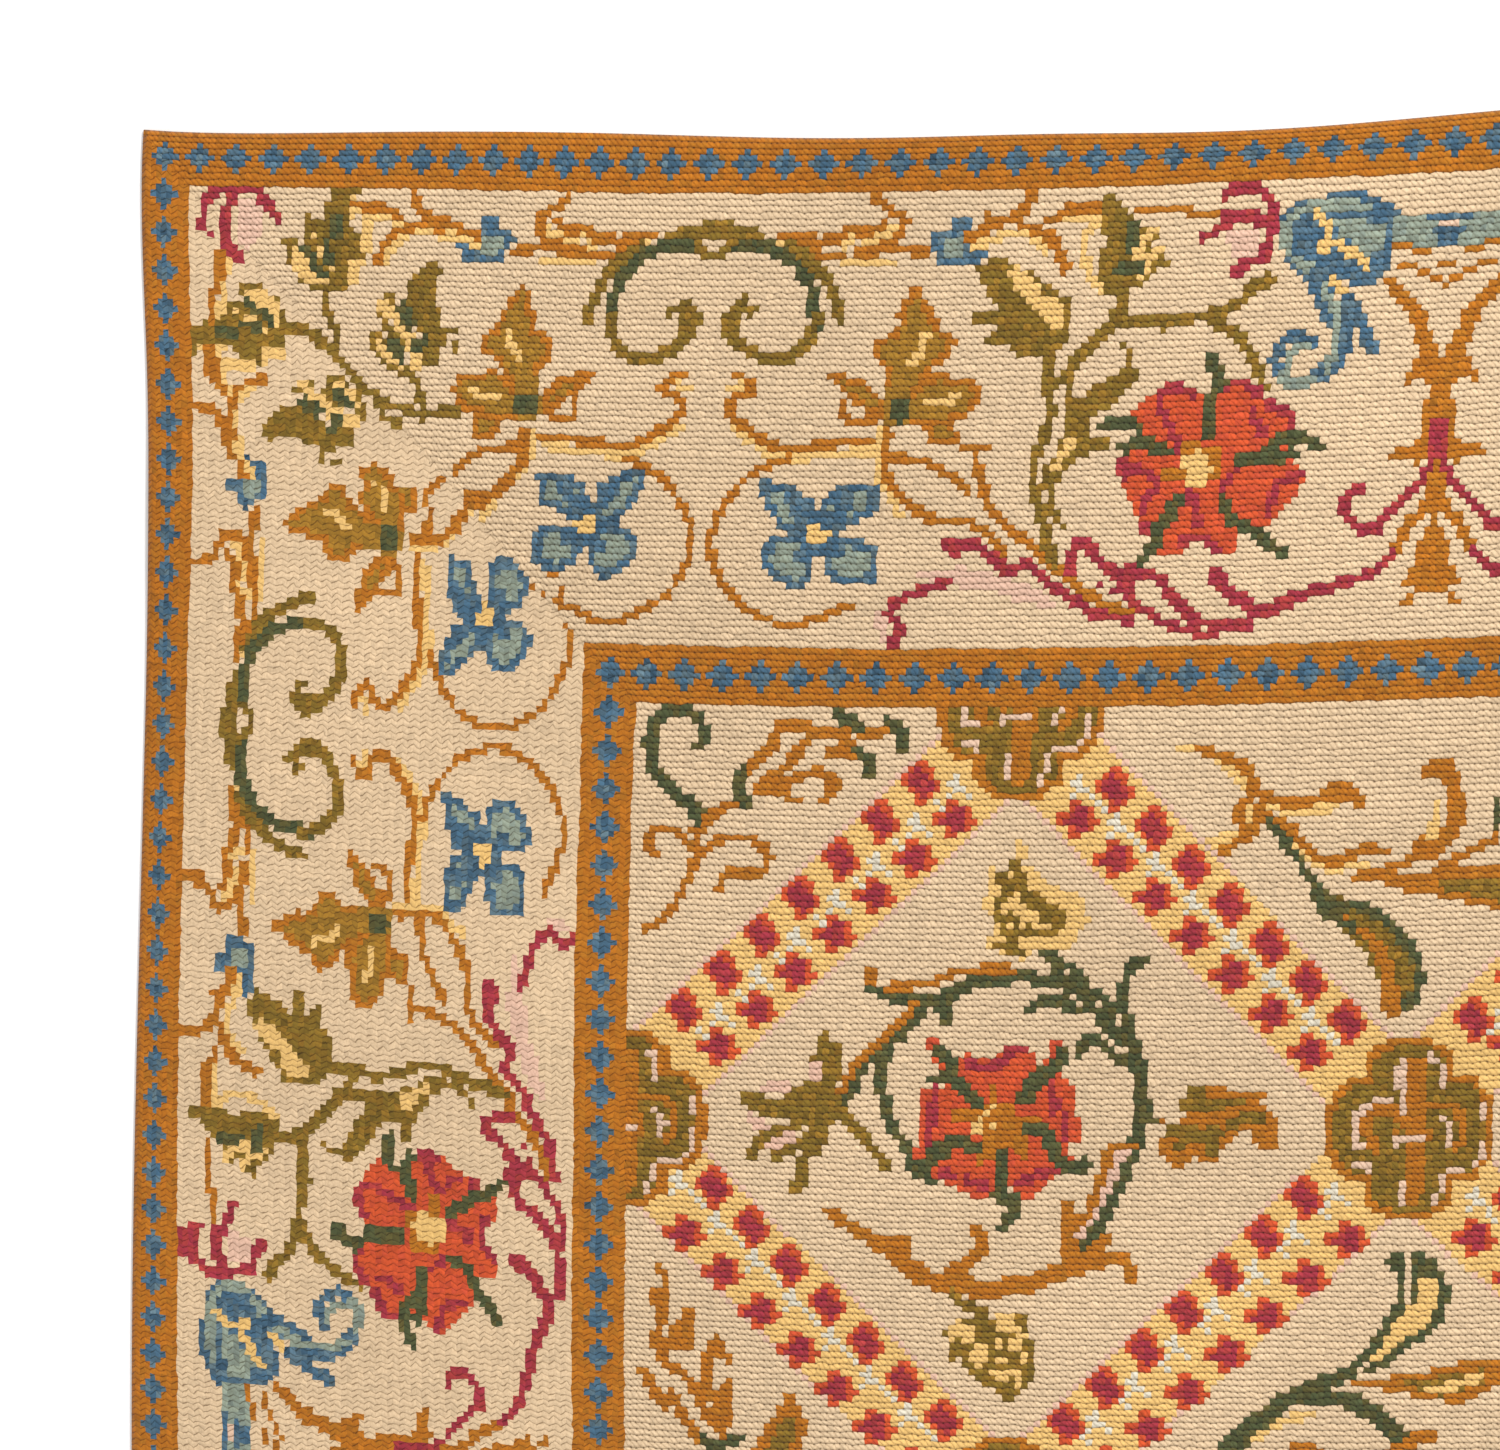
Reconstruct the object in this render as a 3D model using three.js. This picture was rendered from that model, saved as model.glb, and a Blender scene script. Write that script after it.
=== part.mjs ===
// A needlepoint rug that lies flat: one sheet of canvas worked all over in wool, with its hem turned under.
// Millimetres, +Z up. X runs across the rug, Y along it, and the origin is under the middle of its box.
import * as THREE from 'three';

// The work, counted in stitches: columns across the rug and rows along it.
const COLUMNS = 417;
const ROWS = 567;
const STRIP = 87;             // border strip, outer guard to inner guard
const HEM = 2;                // outermost stitches, which roll over the edge

// Stitch sizes: about six stitches to the inch, a little tighter across the border strips.
const COLUMN_PITCH = 4.4;
const ROW_PITCH = 4;
const SIDE_STRIP_TIGHTNESS = 0.93;
const END_STRIP_TIGHTNESS = 0.98;

// Canvas, wool and the folded hem behind the edge.
const THICKNESS = 5;
const RIM_SHARE = 0.45;       // of the thickness, the upright part of the edge

// How far the rug lies out of square, at its edges.
const SIDE_BOW = 64;          // the left corners stand this much further right than the middle of that side
const END_BOW = 49;           // the upper corners stand this much further up than the middle of that end
const BOW_LOST = 0.6;         // share of either bow that is gone at the opposite edge
const ROW_CREEP = 90;         // rows spread towards the ends, and each end lies this much further out for it
const CORNER_PULL = { across: -17, along: -4, reach: 110 };

// Where the edge draws in from its even line, each wave with its middle given as a share of that side.
const EDGE_WAVES = [
  { side: 'top', middle: 0.26, inward: 3, reach: 70 },
  { side: 'top', middle: 0.71, inward: 3, reach: 90 },
  { side: 'left', middle: 0.18, inward: 5, reach: 230 },
  { side: 'right', middle: 0.38, inward: 4, reach: 120 },
  { side: 'right', middle: 0.76, inward: 3, reach: 90 },
  { side: 'bottom', middle: 0.31, inward: 3, reach: 100 },
  { side: 'bottom', middle: 0.64, inward: 4, reach: 80 },
];

// Places near the edge where the rug stands a little off what it lies on.
const LIFTS = [
  { column: 417, row: 0, height: 4, reach: 70 },
  { column: 0, row: 567, height: 3, reach: 60 },
  { column: 300, row: 0, height: 2.5, reach: 55 },
  { column: 0, row: 62, height: 2, reach: 50 },
  { column: 417, row: 346, height: 3, reach: 60 },
  { column: 172, row: 567, height: 2.5, reach: 55 },
];
const LIFT_DEAD = 0.15;       // a lift lower than this is flat

// Grid of the sheet, in stitches between stations.
const COLUMN_STEP = 14;
const ROW_STEP = 14;

function tightened(count, half, tightness, pitch) {
  const field = half - STRIP;
  const beyond = Math.max(Math.abs(count) - field, 0);
  return Math.sign(count) * (Math.min(Math.abs(count), field) + beyond * tightness) * pitch;
}

// The share of a bow that is left at this distance beyond the middle, from 0 to 1 at the far edge.
function bowLeft(beyond) {
  return 1 - BOW_LOST * THREE.MathUtils.smoothstep(beyond, 0, 1);
}

// The place in plan of a stitch corner, before the edge waves.
function evenPlace(column, row) {
  const u = 2 * column / COLUMNS - 1;
  const v = 2 * row / ROWS - 1;
  const across = tightened(column - COLUMNS / 2, COLUMNS / 2, SIDE_STRIP_TIGHTNESS, COLUMN_PITCH);
  const along = tightened(row - ROWS / 2, ROWS / 2, END_STRIP_TIGHTNESS, ROW_PITCH);
  const fromCorner = Math.hypot(column * COLUMN_PITCH, row * ROW_PITCH) / CORNER_PULL.reach;
  const pull = Math.exp(-fromCorner * fromCorner / 2);
  return new THREE.Vector2(
    across + SIDE_BOW * v * v * bowLeft(u) + CORNER_PULL.across * pull,
    -along + END_BOW * u * u * bowLeft(v) - ROW_CREEP * v * Math.abs(v) + CORNER_PULL.along * pull,
  );
}

function inwardAt(side, share, length) {
  let inward = 0;
  for (const wave of EDGE_WAVES) {
    if (wave.side === side) {
      const away = (share - wave.middle) * length / wave.reach;
      inward += wave.inward * Math.exp(-away * away / 2);
    }
  }
  return inward;
}

// Only the outermost stations move with the waves: the work beside them stays where it is.
function place(column, row) {
  const point = evenPlace(column, row);
  const width = COLUMNS * COLUMN_PITCH;
  const length = ROWS * ROW_PITCH;
  if (column === 0) point.x += inwardAt('left', row / ROWS, length);
  if (column === COLUMNS) point.x -= inwardAt('right', row / ROWS, length);
  if (row === 0) point.y -= inwardAt('top', column / COLUMNS, width);
  if (row === ROWS) point.y += inwardAt('bottom', column / COLUMNS, width);
  return point;
}

function liftAt(column, row) {
  let lift = 0;
  for (const spot of LIFTS) {
    const across = (column - spot.column) * COLUMN_PITCH / spot.reach;
    const along = (row - spot.row) * ROW_PITCH / spot.reach;
    lift += spot.height * Math.exp(-(across * across + along * along) / 2);
  }
  return Math.max(lift - LIFT_DEAD, 0);
}

// Stations from edge to edge: the hem first, then even steps.
function stations(count, step) {
  const inner = count - 2 * HEM;
  const steps = Math.round(inner / step);
  const list = [0];
  for (let i = 0; i <= steps; i++) list.push(HEM + inner * i / steps);
  list.push(count);
  return list;
}

function sheetGeometry() {
  const columns = stations(COLUMNS, COLUMN_STEP);
  const rows = stations(ROWS, ROW_STEP);
  const wide = columns.length;
  const long = rows.length;
  const positions = [];
  for (const upper of [false, true]) {
    for (const row of rows) {
      for (const column of columns) {
        const onRim = column === 0 || column === COLUMNS || row === 0 || row === ROWS;
        const height = upper ? THICKNESS * (onRim ? RIM_SHARE : 1) : 0;
        const { x, y } = place(column, row);
        positions.push(x, y, liftAt(column, row) + height);
      }
    }
  }
  const faces = [];
  const under = (i, j) => j * wide + i;
  const over = (i, j) => wide * long + j * wide + i;
  for (let j = 0; j < long - 1; j++) {
    for (let i = 0; i < wide - 1; i++) {
      faces.push(over(i, j), over(i, j + 1), over(i + 1, j + 1));
      faces.push(over(i, j), over(i + 1, j + 1), over(i + 1, j));
      faces.push(under(i, j), under(i + 1, j + 1), under(i, j + 1));
      faces.push(under(i, j), under(i + 1, j), under(i + 1, j + 1));
    }
  }
  const rim = [];
  for (let i = 0; i < wide - 1; i++) rim.push([i, 0]);
  for (let j = 0; j < long - 1; j++) rim.push([wide - 1, j]);
  for (let i = wide - 1; i > 0; i--) rim.push([i, long - 1]);
  for (let j = long - 1; j > 0; j--) rim.push([0, j]);
  rim.forEach(([i, j], k) => {
    const [nextI, nextJ] = rim[(k + 1) % rim.length];
    faces.push(under(i, j), over(i, j), over(nextI, nextJ));
    faces.push(under(i, j), over(nextI, nextJ), under(nextI, nextJ));
  });
  const geometry = new THREE.BufferGeometry();
  geometry.setAttribute('position', new THREE.Float32BufferAttribute(positions, 3));
  geometry.setIndex(faces);
  geometry.computeVertexNormals();
  return geometry;
}

function centred(geometry) {
  geometry.computeBoundingBox();
  const { min, max } = geometry.boundingBox;
  geometry.translate(-(min.x + max.x) / 2, -(min.y + max.y) / 2, -min.z);
  return geometry;
}

const wool = new THREE.MeshStandardMaterial({ color: 0xdcc39b, roughness: 0.92, metalness: 0 });

const rug = new THREE.Mesh(centred(sheetGeometry()), wool);
rug.name = 'needlework_rug';

const object = new THREE.Group();
object.add(rug);

export default object;
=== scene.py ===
"""A needlepoint rug that lies flat, worked all over in wool: guards, a floral border and a lattice field.

Metres, +Z up. The work is drawn in stitch units: c columns from the left edge, r rows from the top.
"""
import math

import bpy
import numpy as np
from mathutils import Matrix, Vector


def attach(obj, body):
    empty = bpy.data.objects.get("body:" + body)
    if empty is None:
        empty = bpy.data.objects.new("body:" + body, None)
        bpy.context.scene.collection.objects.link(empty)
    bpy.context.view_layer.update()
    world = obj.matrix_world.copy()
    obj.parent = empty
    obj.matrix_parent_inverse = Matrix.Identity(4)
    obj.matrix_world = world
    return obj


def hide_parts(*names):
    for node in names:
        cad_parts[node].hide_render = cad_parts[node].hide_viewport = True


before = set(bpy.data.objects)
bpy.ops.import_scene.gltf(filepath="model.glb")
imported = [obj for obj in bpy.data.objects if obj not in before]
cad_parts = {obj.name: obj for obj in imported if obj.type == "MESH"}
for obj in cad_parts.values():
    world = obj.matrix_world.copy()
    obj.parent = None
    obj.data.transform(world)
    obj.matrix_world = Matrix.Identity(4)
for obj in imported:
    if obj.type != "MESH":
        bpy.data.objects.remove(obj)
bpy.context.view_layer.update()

# The work, counted in stitches

COLUMNS = 417
ROWS = 567
STRIP = 87            # border strip, outer guard to inner guard
GUARD = 9             # rows of a guard band
GUARD_REPEAT = 6      # from one diamond to the next
MIDDLE = COLUMNS // 2         # the column on the rug's long axis
SCROLL_AXIS = 96.2    # the pair of C scrolls in the border mirrors about this column
# Where the lattice's medallions and cell middles stand, by turns, a little unevenly. The first three of
# each are read off what shows, and the rest are a guess.
NODE_COLUMNS = (87, 147.1, 206.4, 268.3, 330)
NODE_ROWS = (87, 152, 215.2, 283.5, 351.8, 415, 480)
HALF_PITCH = (60.75, 65.5)    # on the average, across and along
BAND_HALF = 10        # half the width of a band, its columns and rows added together
HEARTS = 7            # hearts along one side of a cell

# Wools, as sRGB
WOOLS = {
    "cream": (231, 199, 159),
    "gold": (188, 111, 26),
    "blue": (68, 101, 124),
    "teal": (148, 157, 138),
    "olive": (128, 101, 34),
    "moss": (168, 120, 38),
    "green": (78, 84, 52),
    "crimson": (162, 50, 64),
    "red": (216, 86, 44),
    "yellow": (242, 195, 118),
    "pink": (230, 184, 158),
    "white": (226, 214, 190),
    "shell": (230, 192, 163),
    "mauve": (232, 188, 162),
}
WOOL_NUMBER = {name: number for number, name in enumerate(WOOLS)}

# Small repeats, one letter for a stitch
LETTERS = {"r": "red", "c": "crimson", "w": "white"}
TALL_HEART = ("..rr..", ".rcrr.", "rcccr.", "rccccr", ".rcccr", "..rcr.", "..rr..")
WIDE_HEART = ("..rr...", "..rccr.", "rrcccr.", "rccccrr", "..rccr.", "..rr...")
CROSS = (".w..", "ww..", ".ww.", "w..w")
TWO_DOTS = ("w.", ".w")

# The repeats along a band, in stitches
HEARTS_FROM = 9.3     # the first heart, from the middle of the cell
HEART_STEP = 6
HEART_INSET = 5.5     # from the middle of the band
CROSS_BEYOND_HEART = 5.2
DOTS_FROM_HEART = (2.5, 3)
LOWER_ROSE_FROM_UPPER = (49.5, 65.5)     # from the rose of one cell to the rose of the cell below it


class Pen:
    """Draws on a grid of stitches. Its own units are stitches from an origin, and it can draw mirrored."""

    def __init__(self, grid, origin=(0, 0), across=1, down=1):
        self.grid = grid
        self.origin = origin
        self.across = across
        self.down = down

    def near(self, points, margin):
        """The part of the grid this close to the points, and its stitches' middles in the pen's units."""
        points = np.asarray(points, float)
        c = self.origin[0] + self.across * points[:, 0]
        r = self.origin[1] + self.down * points[:, 1]
        rows, columns = self.grid.shape
        c0, c1 = np.clip([math.floor(c.min() - margin), math.ceil(c.max() + margin)], 0, columns)
        r0, r1 = np.clip([math.floor(r.min() - margin), math.ceil(r.max() + margin)], 0, rows)
        x, y = np.meshgrid(np.arange(c0, c1) + 0.5, np.arange(r0, r1) + 0.5)
        place = (slice(r0, r1), slice(c0, c1))
        return self.grid[place], (x - self.origin[0]) * self.across, (y - self.origin[1]) * self.down

    def line(self, wool, width, *points):
        """A smooth line through the points. A width of two numbers tapers from one to the other."""
        path = smooth(points)
        start, end = width if isinstance(width, tuple) else (width, width)
        part, x, y = self.near(path, max(start, end))
        steps = len(path) - 1
        for i in range(steps):
            half = (start + (end - start) * (i + 0.5) / steps) / 2
            part[apart(x, y, path[i], path[i + 1]) <= half + 0.08] = WOOL_NUMBER[wool]

    def fill(self, wool, *points):
        """A patch with this outline."""
        part, x, y = self.near(points, 1)
        part[inside(x, y, points)] = WOOL_NUMBER[wool]

    def patch(self, wool, edge, width, *points):
        """A patch with an edge in another wool."""
        self.fill(wool, *points)
        part, x, y = self.near(points, width)
        for start, end in zip(points, points[1:] + points[:1]):
            part[apart(x, y, start, end) <= width / 2] = WOOL_NUMBER[edge]

    def dots(self, wool, radius, *points):
        for x0, y0 in points:
            part, x, y = self.near([(x0, y0)], radius + 1)
            part[np.hypot(x - x0, y - y0) <= radius] = WOOL_NUMBER[wool]

    def repeat(self, letters, x0, y0):
        """A small charted repeat with its middle here. A dot leaves the stitch as it is."""
        for j, row in enumerate(letters):
            for i, letter in enumerate(row):
                if letter == ".":
                    continue
                x = x0 + i - len(row) / 2 + 0.5
                y = y0 + j - len(letters) / 2 + 0.5
                column = math.floor(self.origin[0] + self.across * x)
                r = math.floor(self.origin[1] + self.down * y)
                if 0 <= column < self.grid.shape[1] and 0 <= r < self.grid.shape[0]:
                    self.grid[r, column] = WOOL_NUMBER[LETTERS[letter]]


def smooth(points, steps=6):
    """A Catmull-Rom curve through the points."""
    points = np.asarray(points, float)
    if len(points) < 3:
        return points
    padded = np.vstack([2 * points[0] - points[1], points, 2 * points[-1] - points[-2]])
    path = [points[0]]
    for a, b, c, d in zip(padded, padded[1:], padded[2:], padded[3:]):
        for t in np.arange(1, steps + 1) / steps:
            bend = (2 * a - 5 * b + 4 * c - d) * t ** 2
            twist = (3 * b - a - 3 * c + d) * t ** 3
            path.append((2 * b + (c - a) * t + bend + twist) / 2)
    return np.array(path)


def apart(x, y, start, end):
    """Distance from each stitch's middle to a straight stretch."""
    dx, dy = end[0] - start[0], end[1] - start[1]
    share = ((x - start[0]) * dx + (y - start[1]) * dy) / max(dx * dx + dy * dy, 1e-9)
    share = np.clip(share, 0, 1)
    return np.hypot(x - start[0] - share * dx, y - start[1] - share * dy)


def inside(x, y, points):
    within = np.zeros(x.shape, bool)
    for (x0, y0), (x1, y1) in zip(points, points[1:] + points[:1]):
        if y0 != y1:
            crosses = (y0 > y) != (y1 > y)
            within ^= crosses & (x < (x1 - x0) * (y - y0) / (y1 - y0) + x0)
    return within


# Border: its corner spray

def bud_leaf(pen):
    pen.fill("olive", (31.7, 10), (33.5, 7.8), (36.6, 7.8), (36.5, 10), (34.7, 12.5), (35.5, 15),
             (37.8, 16.5), (37.8, 20), (36, 23), (34.8, 25.3), (30, 25.3), (27.5, 23.5), (25.5, 21),
             (24.3, 17.3), (26.5, 16.5), (28, 18.3), (27.8, 13.7), (29.3, 13.2), (30, 15.5))
    pen.fill("yellow", (25.7, 18), (27.3, 18), (28.3, 19.5), (29, 21.3), (31, 22.3), (32.4, 23.6),
             (31.5, 24.7), (28.5, 23.5), (26.2, 21.3))
    pen.fill("yellow", (34.8, 10.2), (36, 10.3), (35.7, 13.8), (34.8, 13.5))
    pen.fill("yellow", (37, 14.2), (38.9, 13.9), (38.6, 18.7), (37.5, 18.7), (37.2, 16.5))
    pen.fill("yellow", (35, 20.5), (38, 20), (36.7, 23.5), (35.3, 24.6), (34.6, 22.5))
    pen.dots("yellow", 0.8, (30.4, 19), (29.3, 16.3), (32.5, 21.7))
    pen.line("green", 1.8, (32.6, 13.8), (32.8, 16.2))
    pen.line("green", 1.3, (28, 18.8), (29.5, 20.5), (31, 22.5))
    pen.line("green", 1.2, (31.7, 18), (32, 20.3))
    pen.line("olive", 1.2, (31.8, 25), (31.8, 28), (32.8, 30.7))
    pen.line("olive", 1.2, (33.6, 31), (33.5, 34.7))


def split_leaf(pen):
    pen.fill("olive", (48.5, 20), (51.3, 20.7), (50, 23), (50, 26), (51.2, 28.5), (51.7, 31.5), (51, 35.2),
             (49, 36.7), (47.8, 34.5), (47.5, 31), (46, 29.5), (44.5, 27), (44.6, 24.5), (46.5, 22))
    pen.fill("olive", (39.3, 30.8), (41, 31), (42.5, 33.3), (45, 35.7), (47.5, 36.6), (47.5, 38.5),
             (44.5, 37.7), (41.3, 36), (39.3, 34))
    pen.line("olive", 1.2, (41.7, 25.2), (42.3, 26.8))
    pen.line("olive", 1.2, (40.6, 28), (42.3, 30.5), (44, 32.7))
    pen.line("yellow", 2, (41.3, 27.2), (43, 28.3), (45, 31), (47, 34.3), (47.4, 36.3))
    pen.line("yellow", 1.3, (40.5, 32.6), (42.5, 35), (44.7, 36.3))
    pen.line("green", 1.7, (44.4, 27.4), (45.6, 29.6))
    pen.line("green", 1.5, (42.6, 32.5), (44.8, 35))
    pen.line("green", 1.3, (47, 33), (48.6, 32.2))
    pen.dots("olive", 0.8, (53, 30.7), (53.3, 33))


def gold_sprig(pen):
    pen.line("yellow", 1.3, (36, 12.7), (41, 13.3), (45, 15.3), (50, 15.7), (56, 17))
    pen.line("yellow", 1.3, (44, 16.6), (42, 18.3), (41.2, 20.5))
    pen.line("gold", 1.3, (35.7, 11.7), (40, 12.1), (43.5, 13.6))
    pen.line("gold", 1.3, (45.8, 9.8), (46.5, 12.4), (49.5, 13.4), (52.5, 14.7), (56.5, 15.9))
    pen.line("gold", 1.3, (45, 14.2), (50.5, 14.9))
    pen.line("gold", 1.3, (45.7, 14.7), (43, 15.7), (41, 17.4), (39.8, 20.6))


# Border: the pair of C scrolls and what mirrors with them

def blue_bud(pen):
    pen.fill("blue", (56.8, 13.2), (59.4, 13), (60, 15.3), (62, 15.2), (63, 16.8), (61.5, 18), (60.7, 20.2),
             (55.5, 20.2), (54, 19.3), (53.2, 17.4), (55.3, 17.2), (57, 16.7))
    pen.fill("teal", (57.3, 16.3), (61, 16), (60.2, 19), (57, 19.4))


def s_tendril(pen):
    pen.line("yellow", 1.2, (67.3, 14.3), (69, 15.3), (71, 16.3))
    pen.line("yellow", 1.4, (72, 15.8), (75.3, 16), (75.5, 19.4), (68, 19.6))
    pen.line("yellow", 1.1, (81, 16.7), (85.5, 16.7))
    pen.line("gold", 1.4, (71.7, 9.8), (69.8, 11.3), (67, 13))
    pen.line("gold", 1.3, (66.4, 13.6), (67.5, 15.7), (70.5, 17.2), (74, 17.4))
    pen.line("gold", 1.3, (70, 13.7), (71.5, 14.9), (75.7, 14.6))
    pen.line("gold", 1.2, (76, 15.8), (80.5, 16.2), (86, 15.6))
    pen.line("gold", 1.4, (76, 18.5), (79.5, 18.3), (83.5, 17.2))
    pen.line("gold", 1.4, (63, 18.2), (68, 17.5), (74, 18.5))


def c_scroll(pen):
    pen.line("olive", (1.6, 2.2), (75.8, 28), (77, 25), (78.5, 22), (81, 19.3), (84.5, 17.5))
    pen.line("olive", 2, (89, 16), (92, 14.8), (96.2, 14.4))
    pen.line("green", 1.9, (79.8, 29), (80.2, 24.7), (82, 21), (85, 18.3), (88.5, 17.2), (92, 17))
    pen.line("olive", 1.8, (79.7, 28), (80.8, 31.5), (83.3, 33.8), (86.3, 34.4), (89.5, 33), (92, 31.3))
    pen.fill("olive", (91, 24.2), (92.5, 25.3), (94.7, 27.7), (94, 30.6), (92, 32), (91.2, 29), (91, 27.2),
             (89.3, 28.2), (88.8, 26.3), (90.4, 26))
    pen.line("olive", 1.3, (93.6, 16.6), (94.8, 18.2), (96.2, 18.7))


def fleur(pen):
    for petal in (((64.7, 23.3), (62.7, 26), (61, 29), (60, 30.7), (58.2, 31.2), (59, 33.3), (61.5, 35),
                   (64, 39), (67.5, 39), (68, 35.3), (70, 33.2), (69.5, 31.2), (66.7, 30.7), (66.3, 28.3)),
                   ((53.7, 39.7), (55, 37.5), (60.5, 36.8), (63, 38.6), (66, 41), (64.5, 43.5),
                   (60.5, 43.5), (56, 42.5)), ((57, 46), (58, 43.7), (62, 43.5), (60.4, 46.5)), ((68.5, 41),
                   (71.5, 37.7), (77.2, 36.3), (74.7, 38.9), (71, 41.4))):
        pen.patch("moss", "gold", 1.1, *petal)
    pen.fill("moss", (64, 37), (67.5, 37), (69, 42), (67.5, 44.5), (64.7, 44))
    pen.fill("green", (64.5, 39.7), (67.6, 39.5), (67.8, 42.5), (65.8, 43.7), (64.3, 42.5))
    pen.line("gold", 1.2, (69.5, 42.7), (72.5, 43.5), (74.6, 42.8), (74.8, 41))
    pen.dots("gold", 0.7, (66.5, 27.7))
    pen.line("yellow", 1.2, (62.3, 30.3), (63, 32.5), (64.7, 34.7))
    pen.line("yellow", 1.2, (56.8, 39.5), (58.3, 40.2), (61.5, 40.3))


def hooked_line(pen):
    pen.line("yellow", 1.3, (70, 47.9), (78, 48.6), (84, 49), (88.5, 46.8), (92, 44.5))
    pen.line("gold", 1.4, (69, 46.7), (77, 46.8), (83, 47.7), (88, 45.6), (92, 42.6), (92, 40.3),
             (88.8, 38.7))
    pen.line("gold", 1.3, (89, 38.3), (92, 36.3))
    pen.line("yellow", 1.2, (91, 38), (93, 38.5))


def thin_ring(pen):
    pen.line("gold", 1.1, (83, 49), (86.5, 50.4), (89.8, 52.3), (92.3, 55.5), (94.2, 59.5), (94.5, 63.5),
             (92.7, 68), (90, 71), (86, 73.3), (82, 74.7), (78.5, 74), (75.5, 72.7), (72.3, 71.3))


def blue_flower(pen):
    """Four petals about the pen's own origin."""
    upper_right = ((1.5, -5.3), (5.3, -7.7), (9, -8), (7.8, -4.5), (5.5, -1.8), (2.3, -1))
    lower_right = ((1, 1.2), (4.3, 0), (7.3, 1.3), (8, 4), (6, 6), (3, 7.6), (1, 6))
    lower_left = ((-8.7, 1.5), (-5, 0.6), (-1.5, 1.5), (-2, 5.6), (-5, 6.6), (-8.8, 6))
    upper_left = ((-8.6, -7.2), (-3.7, -7.2), (-1, -5.3), (-0.3, -3), (-3, -1.5), (-5, -2.7), (-8.4, -3.8))
    for petal in (upper_right, lower_right, lower_left, upper_left):
        pen.patch("teal", "blue", 1.3, *petal)
    pen.dots("blue", 3.2, (0, 0))
    pen.line("blue", 2.2, (-4.5, -5.5), (-1, -1.5), (1.3, -2.5), (4.5, -5.7))
    pen.line("blue", 2, (-4, 2), (0, 0.5), (2.3, 3.3))
    pen.fill("yellow", (0, -2), (1.5, -1.8), (1.2, 0.8), (-0.5, 1.7), (-1.5, 0.7), (-2.8, 0))


# Border: from the second fleur to the strip's axis

def leaning_stems(pen):
    pen.line("yellow", 1.3, (123.6, 45), (123.7, 51), (125.3, 54), (127, 57.3))
    pen.line("gold", 1.4, (124.8, 45), (124.6, 50.5), (125.7, 53), (128.5, 56), (132.5, 58.2), (138, 58.8),
             (141, 60.7), (143.7, 63))
    pen.line("gold", 1.2, (125, 48.8), (131, 49.8), (134.3, 51.4), (137.7, 54))
    pen.line("gold", 1.3, (136.7, 47.4), (140.3, 47.6))
    pen.line("gold", 1.3, (138.2, 48), (139.2, 52), (141.5, 57), (145, 60.3), (149, 63))


def crimson_branch(pen):
    pen.fill("mauve", (130, 66.3), (137, 65.3), (142, 66.5), (149, 69), (152.5, 72), (146, 71), (141, 68.7),
             (133, 68.3))
    pen.line("mauve", 1.3, (125, 72.5), (125.3, 76))
    pen.fill("crimson", (133.5, 61), (139, 60.8), (139, 63), (135.5, 63.8), (134, 63))
    pen.line("crimson", 1.7, (139, 62), (142, 64), (144, 65.8), (147.5, 65.2), (150, 67.7), (154, 70.3),
             (158, 72.8), (163.5, 73.8))
    pen.line("crimson", 1.4, (135.3, 67.5), (131.5, 68.7), (127.3, 70.8), (126.3, 73), (128.2, 75),
             (127, 77))
    pen.line("gold", 1.4, (149, 63), (151.5, 65.5), (155.5, 69), (160, 71.7), (163.5, 72.7))
    pen.line("crimson", 1.7, (154.2, 66), (154.3, 63), (156, 61.7), (158, 64.5), (161.7, 67.5), (161, 69.5))
    pen.dots("crimson", 0.7, (158.7, 68.4))
    pen.line("crimson", 1.5, (163, 65.7), (162.8, 69.3))
    pen.line("crimson", 1.7, (163.5, 67), (167.3, 67.7), (170, 71), (173.7, 74.3), (181.5, 74.8))
    pen.line("crimson", 1.2, (162.3, 70), (165, 72.3), (170, 75), (176.5, 76.8))
    pen.line("crimson", (2.2, 1.4), (176, 67.3), (179, 70.7), (183.5, 73), (188, 71.3), (193, 69.7),
             (199, 68), (202.7, 65))


def olive_leaf(pen):
    pen.fill("olive", (137.2, 19.7), (141, 19.2), (146, 21.7), (150, 24.5), (152.2, 25), (152.2, 30.7),
             (151, 32.5), (149, 33.6), (146, 34.5), (143.5, 33.2), (143.3, 31.6), (139.2, 31.6),
             (141, 29.5), (137.2, 28.5), (137.2, 26.6), (141, 27), (139, 24), (138, 22))
    pen.fill("yellow", (141.8, 20.7), (144, 20.4), (146, 22.2), (147, 24.5), (149.2, 24.8), (150.6, 26.2),
             (151, 29.3), (150, 30.2), (148, 28.8), (145.5, 26.3), (143.5, 23.5))
    pen.line("olive", 1.5, (148.8, 33.5), (148.8, 38), (149.8, 41.5), (148.8, 46), (147.4, 50), (147.8, 54),
             (149, 57.5), (150.2, 61), (151.5, 65.5))
    pen.line("olive", 1.4, (150.3, 38.5), (153, 35), (156, 32), (159.3, 29.4), (165, 29), (173, 28.6))
    pen.line("olive", (1.5, 1.8), (173, 28.6), (177.5, 26.7), (179.3, 24.8), (181.7, 23.3))
    pen.line("olive", 1.3, (174, 29.5), (177, 31), (179.3, 33.7), (181, 37), (182, 39.7))
    pen.dots("olive", 0.7, (166.3, 30.4))


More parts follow.
